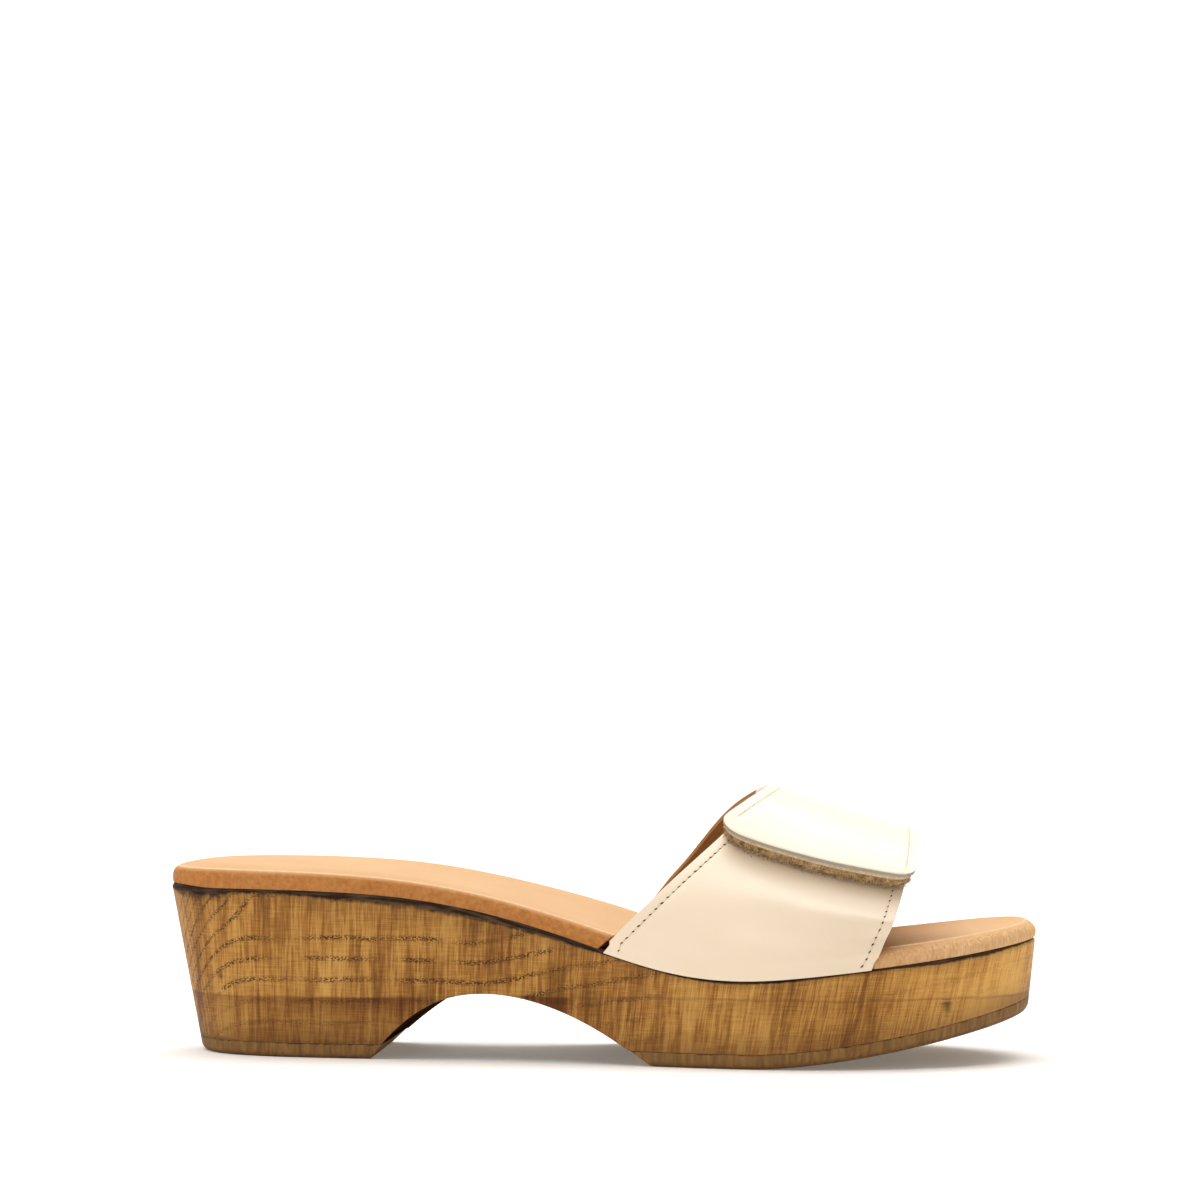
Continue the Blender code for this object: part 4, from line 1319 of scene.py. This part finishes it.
leatherFaces = {
    "ivory": ivoryCowhidePigmented(),
    "raw": rawCutEdge("ivoryEdgeRaw", "#f8efe0", "#dccdb6"),
    "grey": rawCutEdge("chromeTannedCoreCut", "#b4b1a8", "#7f7e78"),
    "pale": rawCutEdge("liningEdgeCut", "#efe0c8", "#c9ad88"),
    "lining": tanPigskinLining(),
    "thread": creamThreadTwisted(),
}
# painted shade in the needle holes, dark where the thread is slack and faint where it is tight
slackHole = needleHoleShade("needleHoleShadeSlack", "#24160c", "#7a5a3c")
tightHole = needleHoleShade("needleHoleShadeTight", "#dcc7a5", "#efdfc4")


def addStrap(node, inner, outer, lining, hole, freeEnd):
    # freeEnd: the strap ends in the open, where its chrome-tanned core shows grey
    through = unit(outer - inner)
    distances = edgeDistances(outer)
    sunk = np.zeros(outer.shape[:2])
    for distance in distances:
        off = (distance - straps["stitchFromEdge"]) / straps["grooveReach"]
        sunk += straps["stitchGroove"] * np.exp(-off ** 2)
    sunk[:straps["firstStitchRow"] - 1] = 0
    face = outer - through * sunk[..., None]
    share = straps["liningShare"][node]
    points, faces, kinds = sheetShell(between(inner, outer, share), face, straps["cutEdge"])
    rows, cols = outer.shape[:2]
    layers = ["ivory", "raw", "ivory", "raw", "raw", "grey", "lining"]
    if freeEnd:
        # the wall of the end is grey, and the rear edge is turned in tan up to the crown
        r, c = edgeLoop(rows, cols)
        upperBreak, wall, lowerBreak = kinds[-3 * len(r):].reshape(3, -1)
        wall[r == rows - 1] = layers.index("grey")
        for strip in (upperBreak, wall, lowerBreak):
            strip[(c == cols - 1) & (r < straps["tanRows"])] = layers.index("lining")
    layers = [leatherFaces[layer] for layer in layers]
    addPiece(
        node + "_outer", points, faces, layers, [node], faceMaterial=kinds, sharp=50.0,
    )
    low, high = lining
    points, faces, kinds = sheetShell(low, between(low, high, share - 0.01), straps["cutEdge"])
    layers = [leatherFaces[layer] for layer in ("pale", "lining", "pale", "lining", "lining")]
    addPiece(node + "_lining", points, faces, layers, faceMaterial=kinds, sharp=50.0)
    lastRow = rows - straps["rowsAfterStitches"]
    paths = [stitchPath(face, through, distance, lastRow) for distance in distances]
    addStitches(node + "_stitches", paths, leatherFaces["thread"], hole)


lateralFaces = lateralGrids()
addStrap("lateral_strap", *lateralFaces, lateralFaces, slackHole, freeEnd=False)
flapFaces, flapLining = medialGrids(flapLimit), medialGrids(lambda share: straps["liningEnd"])
addStrap("medial_strap", *flapFaces, flapLining, tightHole, freeEnd=True)
print("straps")

# Fastener: loop tape under the flap, hook tape on the lateral strap
loopTape = {
    "start": -0.09,
    # how far behind the flap's edges: share of the width at the rear and front, girth
    "selvageBack": (0.003, 0.014, 0.004),
    "pileBack": (0.009, 0.022, 0.009),
    "selvage": 1.2,
    "rows": 50,
    "columns": 90,
    "fibresPerMm": 17,
    "fibre": 0.1,  # three times a real one, so that it shows
    "fibreTaper": (1.0, 1.0, 0.9, 0.8, 0.6),
    "fibreSides": 3,
    "fibreTurn": 2.2,  # radians that a loop bends over
    "fibreCurl": (0.2, 0.7),
    "fibreLength": (0.5, 1.1),
    "rootDepth": 0.4,
    "edgeHeading": (0.9, 0.5, 0.9),  # outward, spread, downward at most
    "strayLength": (1.1, 2.0),
    "strays": 70,
    "underFibres": 2000,
    "underLength": (0.4, 1.1),
    "underSpread": (0.35, 0.6),  # of the roots, of the headings
    "underRows": 7,  # they hang from so many rows at the flap's end
    "asideShare": 0.4,  # and this share of them from so many columns at its sides, past the first rows
    "asideColumns": 4,
    "asideFrom": 6,
    "openFrom": 3,  # the edge is open past this row
    "bevels": (0.25, 0.3),  # of the selvage, of the pile
    "underLining": 0.05,
    "tuft": 1.25,
    "weave": 0.9,  # two threads of 0.45 mm
}


def loopNylonBrushed():
    # nylon loop pile, brushed up: matt, fuzzy, each loop a little lighter or darker
    sockets = {"Roughness": 0.9, "Sheen_Weight": 0.1, "Sheen_Roughness": 0.5}
    material, tree = newMaterial("loopNylonBrushed", **sockets)
    island = addNode(tree, "NewGeometry", out=8)
    tuft = pattern(tree, "TexNoise", millimetres(tree), loopTape["tuft"], {"Detail": 3.0})
    tone = addNode(tree, "Math", [island, 0.6, tuft], operation="MULTIPLY_ADD")
    tone = addNode(tree, "MapRange", [tone, 0.4, 1.2])
    return dress(material, addNode(tree, "Mix", [tone, "#6a4720", "#f0d19c"], data_type="RGBA"))


def nylonWoven(name, pale, dark, strength):
    # woven nylon: matt, evenly dotted; the hook side is set with cut hooks
    material, tree = newMaterial(name, Roughness=0.7, IOR=1.53)
    weave = pattern(tree, "TexVoronoi", millimetres(tree), loopTape["weave"])
    colour = addNode(tree, "Mix", [weave, pale, dark], data_type="RGBA")
    return dress(material, colour, weave, strength, 0.3, invert=True)


def tapeGrid(back, offset):
    # rows from the crown to the flap's end, columns turned so that the face stays outward
    share = np.linspace(0, 1, loopTape["columns"])
    rear, front, short = back
    rows = []
    for step in np.linspace(0, 1, loopTape["rows"]):
        girth = between(loopTape["start"], flapLimit(share) + short, step)
        rows.append(offLast(flapShare(between(rear, 1 - front, share), girth), girth, offset))
    return np.array(rows)[:, ::-1]


def fibres(root, heading, length):
    # curled loops from their roots
    count = len(root)
    sideways = unit(np.cross(heading, draw.normal(0, 1, (count, 3))))
    t = np.linspace(0, 1, len(loopTape["fibreTaper"]))
    curl = draw.uniform(*loopTape["fibreCurl"], count) * length
    bent = length[:, None] * np.sin(t * loopTape["fibreTurn"])
    path = root[:, None, :] + heading[:, None, :] * bent[..., None]
    path = path + sideways[:, None, :] * (curl[:, None] * t ** 1.5)[..., None]
    radii = loopTape["fibre"] * np.tile(loopTape["fibreTaper"], (count, 1))
    return tubes(path, radii, loopTape["fibreSides"], sideways + heading * 0.3)


def edgeFibres(low, high, depth):
    # loops stand out along the open edges of the pile
    r, c = edgeLoop(*low.shape[:2])
    r, c = r[r > loopTape["openFrom"]], c[r > loopTape["openFrom"]]
    edge = low[r, c], unit(high - low)[r, c], edgeOutward(low, r, c)
    run = runLength(edge[0])
    count = int(run[-1] * loopTape["fibresPerMm"])
    places = draw.uniform(0, run[-1], count)
    root, lift, out = (readAlong(places, run, values) for values in edge)
    root = root + lift * (draw.uniform(0.0, 1.0, count) * depth)[:, None]
    root = root - out * draw.uniform(0.0, loopTape["rootDepth"], count)[:, None]
    outward, spread, downward = loopTape["edgeHeading"]
    heading = out * outward + draw.normal(0, spread, (count, 3))
    heading = heading - lift * draw.uniform(0.0, downward, count)[:, None]
    length = draw.uniform(*loopTape["fibreLength"], count)
    length[:loopTape["strays"]] = draw.uniform(*loopTape["strayLength"], loopTape["strays"])
    return fibres(root, unit(heading), length)


def underFibres(low, high):
    # and hang from its underside near them
    count, rows, columns = loopTape["underFibres"], loopTape["rows"], loopTape["columns"]
    rowAt = rows - 1 - draw.integers(0, loopTape["underRows"], count)
    columnAt = draw.integers(0, columns, count)
    aside = draw.random(count) < loopTape["asideShare"]
    rowAt = np.where(aside, draw.integers(loopTape["asideFrom"], rows, count), rowAt)
    sides = np.r_[:loopTape["asideColumns"], columns - loopTape["asideColumns"]:columns]
    columnAt = np.where(aside, draw.choice(sides, count), columnAt)
    rootSpread, headingSpread = loopTape["underSpread"]
    root = low[rowAt, columnAt] + draw.normal(0, rootSpread, (count, 3))
    heading = unit(draw.normal(0, headingSpread, (count, 3)) - unit(high - low)[rowAt, columnAt])
    return fibres(root, heading, draw.uniform(*loopTape["underLength"], count))


def addLoopTape(selvageMaterial, pileMaterial):
    bottom = strapWall["thickness"] + straps["hookTape"] + 2 * soleForm["seam"]
    liningDepth = strapWall["thickness"] * straps["liningShare"]["medial_strap"]
    top = lapHeight + liningDepth - loopTape["underLining"]
    pileTop = top - loopTape["selvage"]
    selvageFaces = tapeGrid(loopTape["selvageBack"], pileTop), tapeGrid(loopTape["selvageBack"], top)
    low, high = tapeGrid(loopTape["pileBack"], bottom), tapeGrid(loopTape["pileBack"], pileTop)
    selvageBevel, pileBevel = loopTape["bevels"]
    points, faces, kinds = joined([
        (*sheetShell(*selvageFaces, selvageBevel)[:2], 0),
        (*sheetShell(low, high, pileBevel)[:2], 1),
        (*edgeFibres(low, high, pileTop - bottom), 1),
        (*underFibres(low, high), 1),
    ])
    addPiece(
        "loop_tape_brushed", points, faces, [selvageMaterial, pileMaterial], ["loop_tape"],
        faceMaterial=kinds, sharp=80.0,
    )


addLoopTape(nylonWoven("loopTapeSelvageWoven", "#dcc7a3", "#b89d76", 0.3), loopNylonBrushed())
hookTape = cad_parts["hook_tape"]
hookTape.data.materials.clear()
hookTape.data.materials.append(nylonWoven("hookNylonWoven", "#d8c9ab", "#a8977a", 0.8))
print("fastener")
